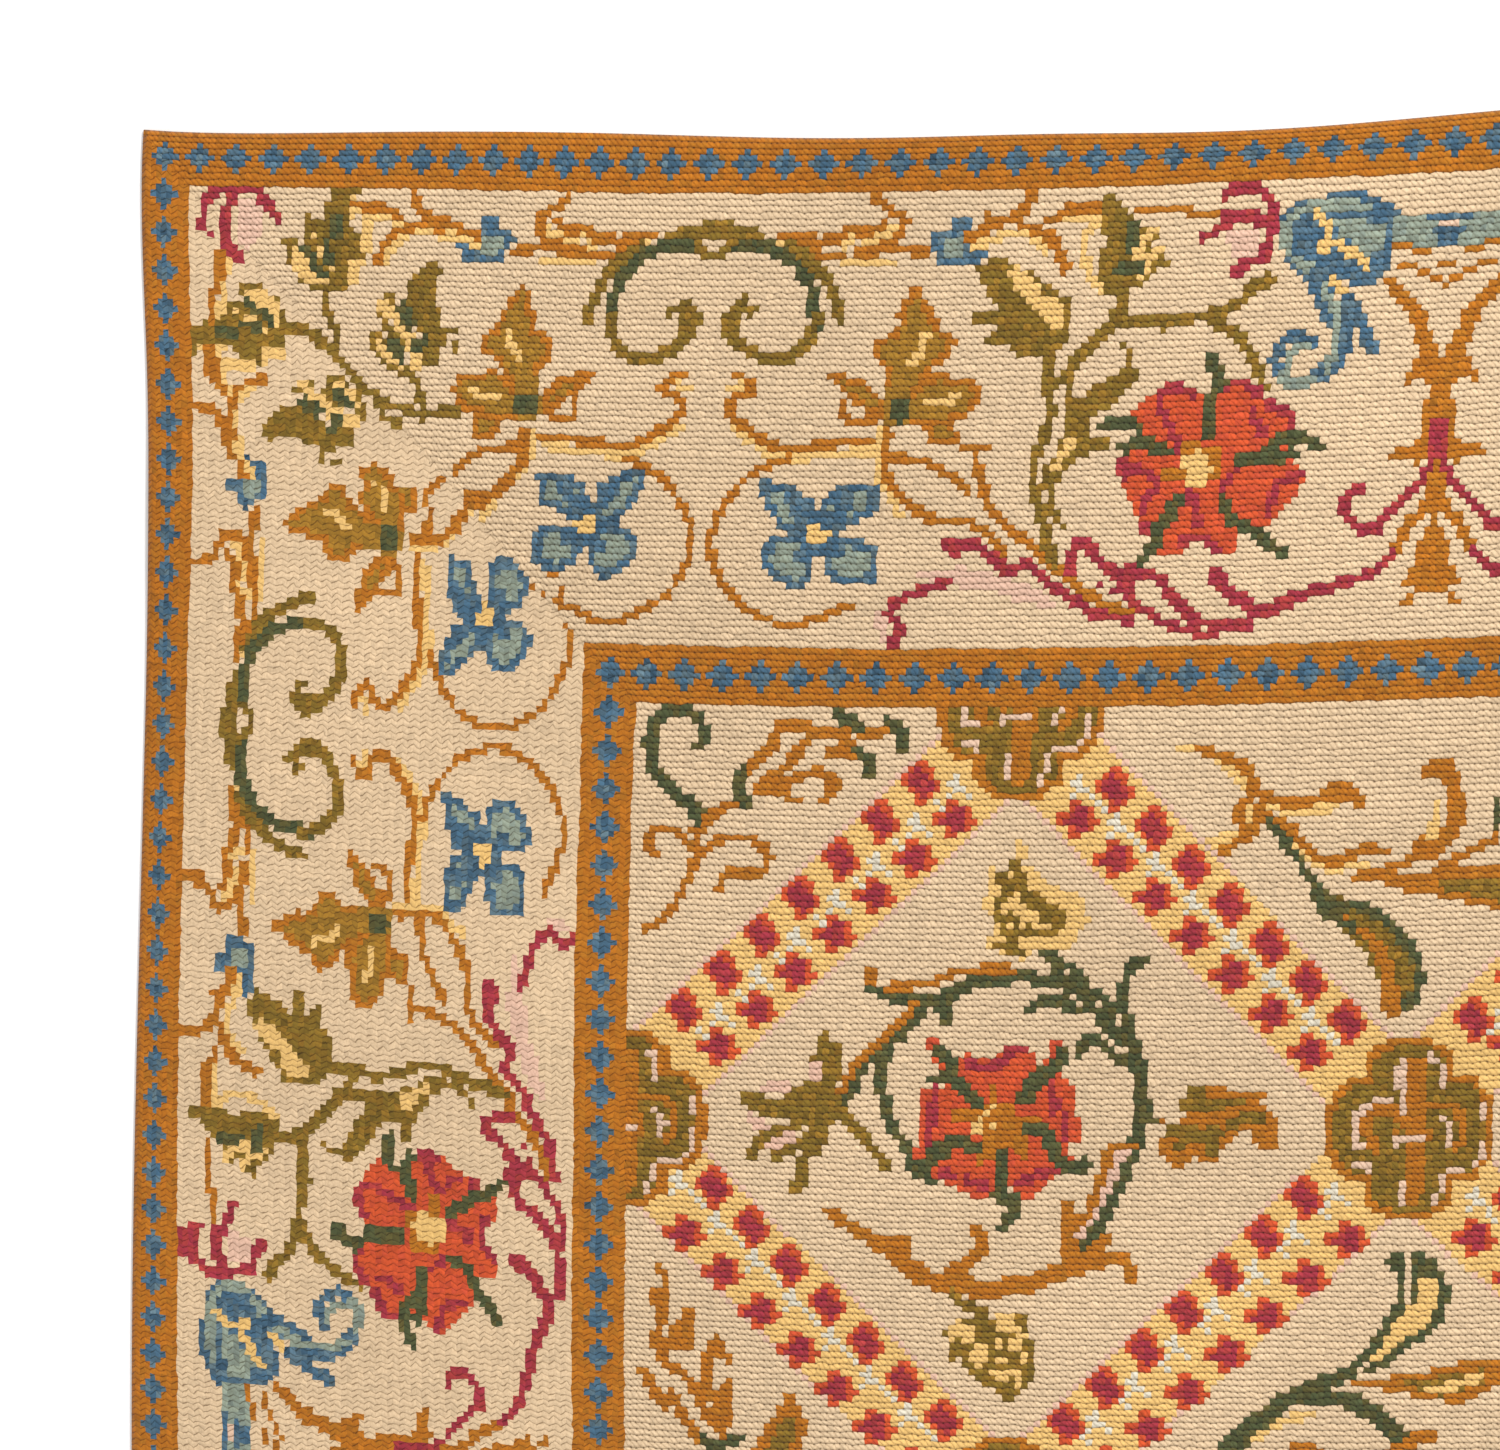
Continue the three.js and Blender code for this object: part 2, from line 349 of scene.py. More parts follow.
def upright_leaf(pen):
    pen.fill("olive", (156, 9.8), (158.3, 10.6), (160.7, 13), (161.7, 14.7), (164.7, 15), (165.5, 16.7),
             (163.3, 18.4), (166, 19.3), (166.6, 20.5), (164, 22.7), (161, 24.7), (158, 25), (155.8, 23.7),
             (155.8, 20), (156.8, 17), (156.2, 14))
    pen.line("yellow", 1.3, (155.3, 14.3), (153.6, 16.5), (153.8, 19.5), (155.3, 23), (156.5, 24.2))
    pen.line("yellow", 1.2, (164.7, 15.4), (162.3, 17.3), (161.9, 19.7))
    pen.line("yellow", 1.2, (165.3, 18.6), (163.3, 20.4), (162.7, 22.7))
    pen.line("green", 1.8, (160.6, 14.7), (160.5, 18.3))
    pen.line("green", 1.6, (159.3, 21.3), (162.3, 21))
    pen.line("olive", 1.4, (159.8, 25), (160, 26.8), (158.8, 28.3), (157.5, 30))


def long_leaf(pen):
    pen.fill("olive", (160.4, 32.3), (162.2, 32.8), (162.6, 37.5), (161, 39.7), (158.5, 41.7), (156.5, 43),
             (155.3, 45), (157, 45.8), (159.3, 46), (158.6, 48.2), (154.5, 48.7), (152.5, 51.2),
             (151, 53.7), (149, 54.2), (149, 50.5), (151, 48.5), (151.8, 45), (152.3, 41), (155, 39.3),
             (158, 37.5), (161, 36.3))
    pen.line("olive", 1.2, (152.4, 37.5), (153, 41))
    pen.line("yellow", 1.3, (153.4, 46.3), (151.2, 50.3))
    pen.line("olive", 1.1, (150.2, 54.5), (151.3, 58), (153, 60))
    pen.line("olive", 1.6, (149.8, 60), (150.8, 64.3))


def rose(pen):
    """Five petals, a gold and yellow heart and green sepals between them."""
    pen.fill("red", (162.3, 42.5), (165, 40), (168.5, 38.3), (172.3, 39.5), (174.7, 40), (177, 38),
             (181, 39.7), (182.3, 41.3), (185.5, 42.5), (187.5, 46), (186.5, 49), (187, 51), (189.2, 53),
             (187, 56.5), (183.5, 59.7), (179, 60.3), (179.3, 63.8), (174.8, 64.4), (174.5, 62), (171, 62),
             (171, 64.4), (167.3, 64), (167.5, 60.5), (164.5, 60.3), (162.7, 56.5), (160.7, 52),
             (160, 49.5), (162.5, 48), (164.3, 46.3))
    for edge in (((166.3, 40), (168.7, 38.8), (171.3, 39.8)), ((176, 39), (178, 38.4), (181.3, 40.2)),
                 ((183, 42), (186, 43.7), (187, 46.5)), ((180.3, 43), (182, 46)),
                 ((166.5, 42), (168.3, 45), (169.5, 48)), ((163, 51), (166.3, 53), (164.3, 57)),
                 ((188, 52.7), (184.7, 54), (183.5, 58.7)), ((171.8, 55), (173, 59)),
                 ((164.3, 59.7), (167.3, 60.8)), ((170.7, 62), (173.8, 61.3), (176, 63.8)),
                 ((161, 50), (161.3, 52.5))):
        pen.line("crimson", 1.3, *edge)
    pen.line("crimson", 1, (176.3, 54), (178.7, 51.3))
    pen.fill("gold", (170, 48), (171.3, 46.7), (174.5, 48), (176.3, 47.3), (176.2, 52.5), (173.5, 54),
             (171, 53.3), (166.7, 52.4), (167, 51), (170, 50.8))
    pen.fill("yellow", (170, 49.2), (173, 48.3), (174.7, 51.5), (173.4, 54.2), (171.5, 53.5))
    for sepal in (((173.6, 34.8), (174.7, 37), (175.8, 38.7)), ((174.6, 39.5), (173.6, 43), (174.2, 46.3)),
                  ((158.3, 44.4), (161, 43.7), (163.3, 44.6)), ((161.3, 47.6), (164, 47), (167.7, 48.4)),
                  ((178.7, 50), (182, 49.7), (184.5, 47.6), (187, 46.7), (190.7, 48.2)),
                  ((183.7, 49.7), (187, 49.4)),
                  ((170, 55.4), (168.7, 58.3), (167, 60.3), (166.5, 62.7), (164.8, 64.8)),
                  ((176.8, 56.3), (178, 58.7), (181, 60.6), (185.7, 64))):
        pen.line("green", 1.8, *sepal)


def crimson_bud(pen):
    pen.fill("mauve", (174.5, 16), (180, 16), (179.7, 19.5), (177, 20.7))
    pen.line("gold", 1.2, (162, 12.6), (168, 12.6), (170.5, 13.5), (174.3, 13.5))
    pen.line("crimson", 1.7, (174.4, 11), (176.3, 10), (180, 10.6), (181.7, 13), (181.6, 17), (180.8, 20),
             (178.5, 20.8), (176.7, 22))
    pen.line("crimson", 2.2, (180.5, 14.8), (177, 13.7), (175, 14.5))
    pen.line("crimson", 1.3, (175, 15), (171.4, 17.2))


def small_gold_sprig(pen):
    pen.line("yellow", 1.2, (136.3, 17.2), (139, 16.8), (141, 15.6), (144.3, 15.6), (147.3, 18))
    pen.line("yellow", 1.1, (151, 13.2), (156, 13.1))
    pen.line("gold", 1.4, (145, 9.7), (144, 12), (141, 13.7), (138, 15), (135.3, 16.4))
    pen.line("gold", 1.1, (138.3, 13), (141.3, 13.5))
    pen.line("gold", 1.5, (143.3, 14.2), (147.5, 15.7), (149.6, 17.6), (150.7, 20.7))
    pen.line("gold", 1.2, (147.5, 13.3), (150, 13), (151, 12), (155.7, 11.9))


def blue_scroll(pen):
    pen.fill("blue", (182.6, 15), (185.5, 12.4), (190, 11.4), (196, 11.4), (199, 13), (201, 14.5),
             (200.4, 19), (200.2, 22.5), (197.5, 25.4), (194.5, 24.8), (193, 23.3), (190, 25.6),
             (187, 23.6), (184.5, 21), (182.6, 18))
    pen.line("teal", 1.4, (184.3, 19.5), (184, 16), (186.5, 13.6), (191, 12.9), (196, 13.4))
    pen.fill("teal", (191.3, 14.6), (195, 15.3), (199, 16.5), (198.7, 19.5), (196.5, 21.3), (193.5, 18.3),
             (191.7, 17))
    pen.line("teal", 1.5, (186, 20.8), (188.5, 22.3), (190.3, 24.7))
    pen.line("yellow", 1.6, (188.5, 14.3), (190.6, 16.3), (189.8, 19.3))
    pen.line("yellow", 1.4, (192.2, 18.7), (194.7, 20.6), (196.6, 22.4))
    pen.line("blue", (3.4, 2.6), (189, 23.5), (191, 27.5), (193.5, 31), (193, 35), (190.7, 38))
    pen.line("teal", 1.3, (190.3, 25), (192.3, 28.6), (192.7, 34), (191.3, 37))
    pen.line("yellow", 1.2, (191.7, 24), (193.7, 25.6))
    pen.line("blue", 1.9, (194.3, 27), (196.2, 30.3), (197.8, 34.5))
    pen.line("blue", 1.7, (189, 33.2), (187, 31.8), (184.7, 32.8), (183.3, 35.3), (184.3, 37.7))
    pen.line("teal", 1.5, (184.5, 37.8), (186.5, 39), (189.3, 38.6))
    pen.line("teal", 1.2, (188, 33.6), (186.3, 34.2), (185.6, 36))


def ribbon(pen):
    pen.fill("teal", (200, 15.2), (211, 15.2), (211, 19.8), (199.5, 19.8))
    pen.line("blue", 1.3, (206, 15.6), (211, 15.6))
    pen.fill("blue", (206.5, 16.7), (208, 16.4), (211, 17.3), (211, 19.8), (207.7, 19.8), (206.5, 18.3))
    pen.line("shell", 1, (207.2, 16.5), (209.8, 16.5))
    for c, r, half in ((201.6, 19.5, 1), (204.4, 20.5, 0.8), (202.7, 22.5, 0.8), (205, 23.5, 0.8),
                       (208.5, 22.5, 1.3), (207.2, 24.5, 0.7), (208.5, 25.5, 0.4)):
        pen.line("gold", 1, (c - half, r), (c + half, r))


def candelabra(pen):
    """The gold stem on the axis of the strip, its left half."""
    pen.line("gold", (1.8, 2.8), (200, 24.5), (202.7, 27.7), (204.7, 30.5), (205.7, 33.5), (208, 37.5))
    pen.fill("gold", (203, 38.3), (204.5, 36.5), (207, 35.5), (209.5, 36), (209.5, 50), (207.5, 51.3),
             (205.3, 51.6), (204, 50.7), (201, 50.9), (201.3, 49.6), (205, 48.9), (206.3, 47.4),
             (206.3, 42.5), (207.5, 42), (207.4, 40), (205.5, 39), (203.4, 39.8))
    pen.fill("crimson", (207.3, 44.8), (209.5, 44.8), (209.5, 50.7), (207.3, 50.7))
    pen.fill("gold", (208.3, 51), (209.5, 51), (209.5, 72), (208, 70.3), (206.6, 71), (204.7, 74),
             (204.2, 72.6), (206, 70), (203.8, 69.8), (205.6, 67), (206.3, 63.5), (208, 60), (206.3, 57.5),
             (207, 54.5))
    pen.line("crimson", 1.4, (207.6, 50.5), (206.6, 53.5), (204, 56.5), (201.5, 59), (200, 61),
             (197.3, 60.8), (195.2, 58.5), (195.3, 56), (197.6, 54.7))
    pen.line("gold", 1.6, (206.3, 59.3), (204.6, 60.7), (203.3, 63.8))


def border_strip():
    """One strip of the border with the outer edge at its top, guards left out."""
    strip = np.full((STRIP, COLUMNS), WOOL_NUMBER["cream"], np.uint8)
    pen = Pen(strip)
    for side in (pen, Pen(strip, (2 * SCROLL_AXIS, 0), across=-1)):
        for motif in (s_tendril, blue_bud, c_scroll, fleur, hooked_line, thin_ring):
            motif(side)
    pen.line("yellow", 1.3, (67.5, 45.5), (67.2, 49), (64.7, 53), (61, 57), (58.5, 60))
    pen.line("gold", 1.5, (66.2, 45.5), (66, 50), (63.7, 53.3), (61, 55.7))
    pen.fill("gold", (56.2, 55.2), (62.7, 54.5), (60.5, 56.8), (58.3, 58.5), (57.2, 61.5), (56, 59))
    pen.line("gold", 1.1, (65, 47.8), (60.5, 48.6), (57.3, 49.7), (54.5, 52.3))
    pen.dots("gold", 0.8, (72, 67.6), (73.3, 70), (70, 70.4))
    blue_flower(Pen(strip, (77.7, 59.7)))
    blue_flower(Pen(strip, (114.5, 61), across=-1))
    for motif in (bud_leaf, split_leaf, gold_sprig, leaning_stems, crimson_branch, olive_leaf,
                  upright_leaf, long_leaf, rose, crimson_bud, small_gold_sprig, blue_scroll, ribbon,
                  candelabra):
        motif(pen)
    strip[:, MIDDLE:] = strip[:, MIDDLE::-1]
    return strip


def corner_spray(pen):
    """The crimson spray in the corner itself, with its pink shade and gold stem."""
    pen.fill("mauve", (17, 11), (20, 11.5), (21.3, 13.3), (20.5, 17.5), (18, 19), (16.5, 16))
    pen.line("yellow", 1.2, (15, 19), (14.7, 24), (13.8, 29))
    pen.line("gold", 1.2, (14.2, 19), (13.8, 24), (12.7, 26), (12.6, 30))
    pen.line("crimson", 1.7, (12.5, 10.3), (15, 9.2), (19.5, 9.3), (21.5, 11.5), (23.2, 13.7))
    pen.line("crimson", 1.3, (12, 10.8), (11.3, 13), (11.2, 15.5))
    pen.line("crimson", 1.7, (16.3, 10), (15, 13.5), (15, 17.5), (17.2, 20.5))
    pen.dots("crimson", 0.6, (12.4, 16.3))
    pen.line("olive", 1.3, (25, 31), (29, 31.7), (33.5, 35), (36.5, 38), (41, 41.3), (47, 43.2), (54.5, 43))
    pen.line("olive", 1.3, (40.5, 42), (42, 44.2), (44, 45))
    pen.line("olive", 1.3, (47, 38.5), (48.2, 41.5), (48.3, 44))


# Field: lattice and medallions

def lattice(grid):
    c, r = np.meshgrid(np.arange(COLUMNS) + 0.5, np.arange(ROWS) + 0.5)
    across_at = np.interp(c, NODE_COLUMNS, range(len(NODE_COLUMNS)))
    along_at = np.interp(r, NODE_ROWS, range(len(NODE_ROWS)))
    to_cell = np.full(grid.shape, np.inf)
    for shift in (0, 1):
        across = np.abs((across_at - shift + 1) % 2 - 1)
        along = np.abs((along_at - shift + 1) % 2 - 1)
        to_cell = np.minimum(to_cell, across * HALF_PITCH[0] + along * HALF_PITCH[1])
    from_band = sum(HALF_PITCH) / 2 - to_cell
    grid[from_band < BAND_HALF + 0.9] = WOOL_NUMBER["mauve"]
    grid[from_band < BAND_HALF] = WOOL_NUMBER["yellow"]
    for i, column in enumerate(NODE_COLUMNS):
        for j, row in enumerate(NODE_ROWS):
            if (i + j) % 2 == 0:
                (column, half_wide), (row, half_tall) = cell_span(NODE_COLUMNS, i), cell_span(NODE_ROWS, j)
                band_repeats(Pen(grid, (column, row)), (half_wide + half_tall) / 2)
            else:
                medallion(Pen(grid, (column, row)))


def cell_span(nodes, k):
    """The middle of a cell, halfway between the nodes beside it, and half its size."""
    before = nodes[k - 1] if k > 0 else 2 * nodes[k] - nodes[k + 1]
    after = nodes[k + 1] if k + 1 < len(nodes) else 2 * nodes[k] - nodes[k - 1]
    return (before + after) / 2, (after - before) / 2


def band_repeats(pen, band_at):
    """Hearts and crosses along the four sides of a cell, with upright hearts on the lower two."""
    for side in (1, -1):
        for k in range(HEARTS):
            across = HEARTS_FROM + HEART_STEP * k
            along = band_at - HEART_INSET - across
            pen.repeat(TALL_HEART, side * across, along)
            pen.repeat(WIDE_HEART, side * across, -along)
            pen.repeat(CROSS, side * (across + CROSS_BEYOND_HEART), along)
            pen.repeat(TWO_DOTS, side * (across + DOTS_FROM_HEART[0]), along + DOTS_FROM_HEART[1])


def medallion(pen):
    outer = ((0, -14.2), (2.8, -14), (4.7, -13), (6.8, -11.3), (6.8, -8.2), (9.7, -7.7), (11.7, -5.5),
             (12.7, -2.7), (12.7, 0.5), (0, 0.5))
    inner = ((0, -12.8), (2.6, -12.7), (5.4, -10.6), (5.5, -7), (9.1, -6.5), (10.5, -4.7), (11.5, -2.3),
             (11.5, 0.5), (0, 0.5))
    for wool, points in (("gold", outer), ("olive", inner)):
        for across in (1, -1):
            for down in (1, -1):
                Pen(pen.grid, pen.origin, across, down).fill(wool, *points)
    pen.fill("gold", (-0.6, -11), (2.4, -11.3), (2.4, -2), (3, 1), (2.4, 4), (2.3, 9), (1, 12.3),
             (-0.6, 12), (-0.6, 3), (-2.7, 1), (-2.7, -2), (-0.6, -3))
    pen.line("gold", 1.6, (-1, -3), (-4, -3.1), (-6.2, -1.7), (-6.4, 1), (-5.2, 2.7))
    pen.line("gold", 1.4, (3, -3.6), (6, -3.3), (7.5, -1.5), (7.6, 2), (6.5, 3))
    pen.line("olive", 1, (-3.5, -1.5), (-1.5, 0.3))
    pen.line("shell", 1.6, (-1.7, -9.2), (-1.7, -6.3))
    pen.line("shell", 1, (-1.2, -10), (-1.2, -2.7))
    pen.line("shell", 1, (3, -11), (4.5, -9.5), (4.7, -6.2))
    pen.line("shell", 1, (-3.4, -4.3), (-5.8, -4), (-8, -2), (-8.2, 2), (-7, 2.6))
    pen.line("shell", 1, (10.4, -3.7), (10.4, -1.7))
    pen.line("shell", 1, (10.4, 2), (10.4, 4.3))
    pen.line("shell", 1, (5.6, 6.4), (8, 6.4))
    pen.line("shell", 1, (4.8, 7.7), (4.8, 9.7))
    pen.dots("shell", 0.6, (9.4, 5.4), (3.5, 11))
    pen.line("shell", 1, (-8.6, 5.8), (-6, 6))
    pen.line("shell", 1, (-1.5, 8), (-1.3, 11))
    pen.line("shell", 1, (-2.4, 2.6), (-2.2, 1.5), (1.4, 1.5))
    pen.line("shell", 1, (4.7, -1.5), (6, 0.2), (5.5, 2.4))


# Field: the motifs of its cells, drawn where they are in the upper left part

def corner_motif(pen):
    pen.line("green", (1.6, 2.2), (97, 93.6), (98, 91), (96, 88.5), (92.5, 88), (89.8, 91), (89.8, 95.5),
             (91.8, 99), (95, 101.8), (97.3, 103.4), (97.8, 106))
    pen.line("gold", 1.5, (97.7, 107), (99.5, 104.6), (102, 102.8), (105, 101.8))
    pen.line("gold", (1.5, 1.2), (97.3, 106.5), (97.3, 111), (95.3, 116), (92.5, 120), (89.5, 122.3))
    pen.line("gold", 1.4, (97, 109.7), (95, 107.3), (92, 106.3), (89.8, 108), (90.8, 110.3))
    pen.line("gold", 1.4, (97.5, 110.7), (101, 108), (105.3, 107.4), (108.7, 110), (107.7, 113),
             (104.5, 113), (102.3, 113), (101.2, 115.5))
    pen.line("green", 2, (104.7, 97.5), (103.8, 99.8), (105.3, 102.3))
    pen.line("gold", 1.8, (105.5, 96.7), (108.7, 93), (110, 90.3), (114.8, 90.2))
    pen.fill("gold", (110.7, 88.7), (115, 88.7), (114, 91), (110.5, 91))
    pen.line("gold", 1.6, (107, 99.7), (110.3, 97), (113, 94), (115.2, 91.5), (118.5, 91.2), (120, 90),
             (124.7, 91.6))
    pen.line("gold", 1.4, (124.7, 90.5), (127.3, 90.7))
    pen.line("green", 1.9, (119, 88.3), (122, 89.7))
    pen.line("green", 1.9, (126.7, 89.4), (129, 91), (129, 93.5))
    pen.fill("gold", (116.7, 93.3), (118.7, 92.9), (119, 90.5), (121, 91), (123, 95), (117, 95))
    pen.line("green", 1.6, (122, 93.7), (124, 95), (124.2, 97))
    pen.line("gold", 1.7, (111, 99.3), (113.5, 97.8), (116.5, 97.4), (118.7, 98.7))
    pen.fill("gold", (117, 97.5), (120.8, 99.2), (118, 101.9), (115.7, 101.9), (117.3, 99.5))
    pen.fill("gold", (106, 100.7), (109, 98.3), (111, 98), (111.3, 100.2), (113.7, 101.5), (111, 102),
             (110, 100.9))


def yellow_leaf(pen):
    pen.fill("yellow", (147.5, 106.8), (148.8, 108.5), (148.5, 110.5), (151, 112.5), (154, 114.7),
             (157.2, 115), (158.7, 119.5), (157, 122.3), (155.5, 123.8), (151.3, 123.5), (149.3, 125.7),
             (146.5, 125.3), (143.2, 123.7), (144, 120), (141.7, 117.5), (143, 115), (142.7, 113.5),
             (143.5, 111), (145.5, 112), (146.7, 109.5))
    pen.line("olive", 1.5, (147, 110.7), (148.2, 113), (148, 114.7))
    pen.line("olive", 1.5, (144.7, 112.8), (146, 115), (144.3, 118), (146, 121.3), (147.8, 124.7))
    pen.line("olive", 1.2, (147, 113.3), (145, 114))
    pen.line("olive", 1.3, (146.5, 118.3), (148, 121.5), (149.7, 121))
    pen.fill("olive", (148.5, 115), (150.5, 114.5), (152, 117), (154.3, 117.3), (155, 120.7),
             (151.5, 120.3), (150.5, 118), (148.5, 117.3))
    pen.line("olive", 1.2, (144.5, 123.5), (147, 124))
    pen.line("olive", 1.2, (151, 121.5), (153.5, 121.7))


def wreath(pen):
    pen.line("green", (1.5, 2.3), (125, 130.3), (128.5, 131.7), (133, 132.3), (137, 131.3), (141, 129.3))
    pen.line("green", 2, (141, 129), (145, 129), (148.5, 127.9), (152, 129), (156, 129.7), (159.5, 131.5))
    pen.line("gold", 1.5, (124.8, 127.8), (125.3, 129.5))
    pen.line("gold", 1.3, (127.7, 130.3), (132.5, 129.7), (136, 128.8), (139, 127.4), (147, 127.2))
    pen.line("gold", 1, (135.8, 131), (135.8, 132.5))
    pen.line("green", 2, (135.5, 132.5), (137.3, 133.7), (136.8, 135.3))
    pen.line("green", 2, (133, 133.3), (130.5, 137), (127, 140), (124, 142.5), (122.7, 146), (120.3, 148.7))
    pen.line("gold", 1.2, (132, 132.7), (130, 135.6), (126.5, 139), (123.5, 142), (122, 145),
             (120.2, 147.3))
    pen.line("green", 1.7, (128.6, 139), (127.3, 143), (127.7, 148), (129.3, 152.5), (131.5, 155.3),
             (135, 160))
    pen.line("green", 1.6, (151.7, 124.5), (154, 125.7), (154, 127.7), (156, 129))
    pen.line("green", 1.6, (154.5, 126), (157.5, 127.7), (159, 130.3), (161.7, 132), (162, 135.5),
             (164.5, 138.5))
    pen.line("green", 1.6, (150, 133.4), (152, 132.2), (154.5, 132), (157, 133.4), (160, 133.4),
             (161.6, 136), (164, 138))
    pen.line("green", (1.3, 2.4), (167.2, 125.2), (165, 127), (164.2, 131), (165, 137), (166.5, 141.5),
             (167.5, 149))
    pen.line("green", 2.3, (167.5, 150), (166.3, 154.3), (164.5, 159), (162, 164.7), (159, 169),
             (156.5, 171.8))
    pen.line("green", 1.7, (157.7, 140), (159, 137.8), (160.7, 138.3), (163, 140.5), (166, 142))
    pen.dots("green", 0.8, (169, 150.3))
    pen.line("mauve", 1.5, (165, 155.2), (163.8, 156.5), (162.5, 160), (160, 165), (158, 168.3))
    pen.line("gold", 1.1, (162.3, 154.3), (166.3, 154.3))
    pen.line("gold", 1.3, (162.3, 155), (161.5, 158.5), (159.7, 163.7), (158.6, 166))


def cell_rose(pen):
    pen.fill("red", (133.5, 145.7), (137, 145.5), (138.5, 143), (138.5, 140.8), (141, 140.4), (144, 141),
             (147.3, 139.2), (149.7, 139.2), (151, 141.3), (155.5, 143.7), (157.5, 146.2), (156.5, 149.3),
             (158.4, 151.3), (158, 153.7), (156, 154.5), (156.8, 156.5), (153.7, 160.3), (150.8, 162.6),
             (147.8, 162.6), (147.3, 160.3), (144.7, 162.3), (142, 163.3), (138.7, 161.5), (135.3, 159.5),
             (135.5, 157.7), (131.4, 157.3), (132.5, 155), (133.5, 153))
    pen.line("red", 1.5, (134.8, 138.5), (135.5, 140.5), (136.5, 142.5))
    pen.line("red", 1.5, (153.8, 138.5), (153.6, 141), (152, 142.3))
    for width, points in ((1.3, ((135.4, 146), (135.4, 151.5))), (1.1, ((134.2, 148.5), (134.2, 154.3))),
                          (1.3, ((141, 142), (144, 142.4), (147, 140.7))),
                          (1.2, ((147, 139.6), (149.6, 139.8))), (1.5, ((153.6, 144), (153.7, 149))),
                          (1.5, ((155.4, 150.3), (155.6, 153.5))), (1.2, ((136.3, 159), (138.3, 159.3))),
                          (1.4, ((140.3, 160), (143.7, 161.2))),
                          (1.5, ((149, 160.7), (151, 159.5), (154, 158.3)))):
        pen.line("crimson", width, *points)
    pen.fill("gold", (136.8, 150.2), (139, 149.2), (142.7, 149.3), (143.8, 147.7), (144, 144.7),
             (145.3, 144.7), (145.5, 147.7), (147.5, 148), (148, 149.7), (152, 150.2), (152.5, 151.5),
             (149.5, 152.3), (150, 157), (148, 155), (146, 154.7), (144.5, 157), (141.3, 158.3),
             (142.5, 155), (143, 152.5), (140, 151))
    for width, points in ((1.9, ((135.7, 140), (137.6, 141.5), (138, 144), (140, 146.3), (142, 147.7))),
                          (1.4, ((134.8, 144.5), (138, 144))), (2.3, ((155.2, 140.3), (154, 142),
                          (151.3, 144), (149.2, 147.3))), (1.9, ((141.7, 155), (138.7, 154.2),
                          (135.3, 155.2))), (1.7, ((137, 156.3), (134.3, 157.3), (131.8, 158),
                          (134.3, 159.7))), (2, ((150.3, 152.2), (152.7, 152.6), (153.6, 155),
                          (155.5, 157.6), (158.7, 157.5))), (2, ((146.4, 156), (146.3, 160), (145.5, 162.7),
                          (148.2, 163.3))), (1.4, ((148.6, 164.5), (147, 166), (146, 167.3)))):
        pen.line("green", width, *points)
    pen.dots("yellow", 1.2, (142.3, 152))
    pen.dots("yellow", 0.8, (142.5, 150.5), (143.5, 149.5), (144.7, 148.7), (144.3, 151.3))


def palmette(pen):
    for points in (((108.5, 146.5), (112, 146)), ((106.7, 151.3), (109.5, 153)),
                   ((109.5, 155.3), (113.5, 154)), ((114, 151.3), (117, 151)),
                   ((117.3, 142), (117.5, 145))):
        pen.line("pink", 1.8, *points)
    pen.fill("olive", (105.5, 147), (108, 146.8), (109.3, 148.3), (112.3, 148), (113, 146), (116, 145.3),
             (120, 145.5), (121.5, 149.5), (119, 153), (116, 151), (111, 151), (108.5, 150.6),
             (106.5, 149.5), (104.5, 149))
    for width, points in ((1.8, ((118.2, 138.3), (118.8, 142), (118.7, 147))),
                          (1.2, ((120.1, 139.3), (119.8, 145))), (1.1, ((116.8, 141.3), (117.8, 140.8))),
                          (1.7, ((116.5, 151), (112.5, 152.5), (109, 154), (107, 157))),
                          (1.6, ((117, 153), (114.3, 155.3), (110.8, 157))),
                          (1.7, ((118.7, 151), (117.6, 155), (115.3, 157.5), (115, 160.5), (113.7, 162))),
                          ((2.2, 1.3), ((120, 149.7), (122.7, 151.5), (124.5, 153.5), (128, 158)))):
        pen.line("olive", width, *points)


def gold_leaf(pen):
    pen.fill("gold", (174.7, 145.2), (179.7, 144.9), (180.7, 146.2), (186.7, 146), (184.5, 147.7),
             (187.5, 149.7), (188.5, 152), (188.5, 155.4), (184.3, 154.3), (184.5, 152.3), (182, 152),
             (180.3, 154.3), (178.3, 156.8), (176.2, 157.4), (175.5, 156), (174, 157.8), (172.2, 157.7),
             (170.2, 155.7), (170.2, 153.3), (171.3, 151.3), (173.7, 150), (173, 147.5))
    pen.fill("olive", (174.5, 145.3), (177, 145.3), (177.3, 147.5), (176, 149.4), (173.3, 149.3),
             (173.2, 147.3))
    pen.line("olive", 1.4, (177.5, 148), (182.5, 147.3))
    pen.line("olive", 1.8, (180.5, 150.7), (185, 150))
    pen.line("olive", 1.8, (172, 151.8), (175, 152), (173.3, 154.3))
    pen.line("olive", 1.8, (175.5, 153.5), (178.5, 152.3), (178, 154.7))
    pen.dots("gold", 0.8, (170.7, 150.3))


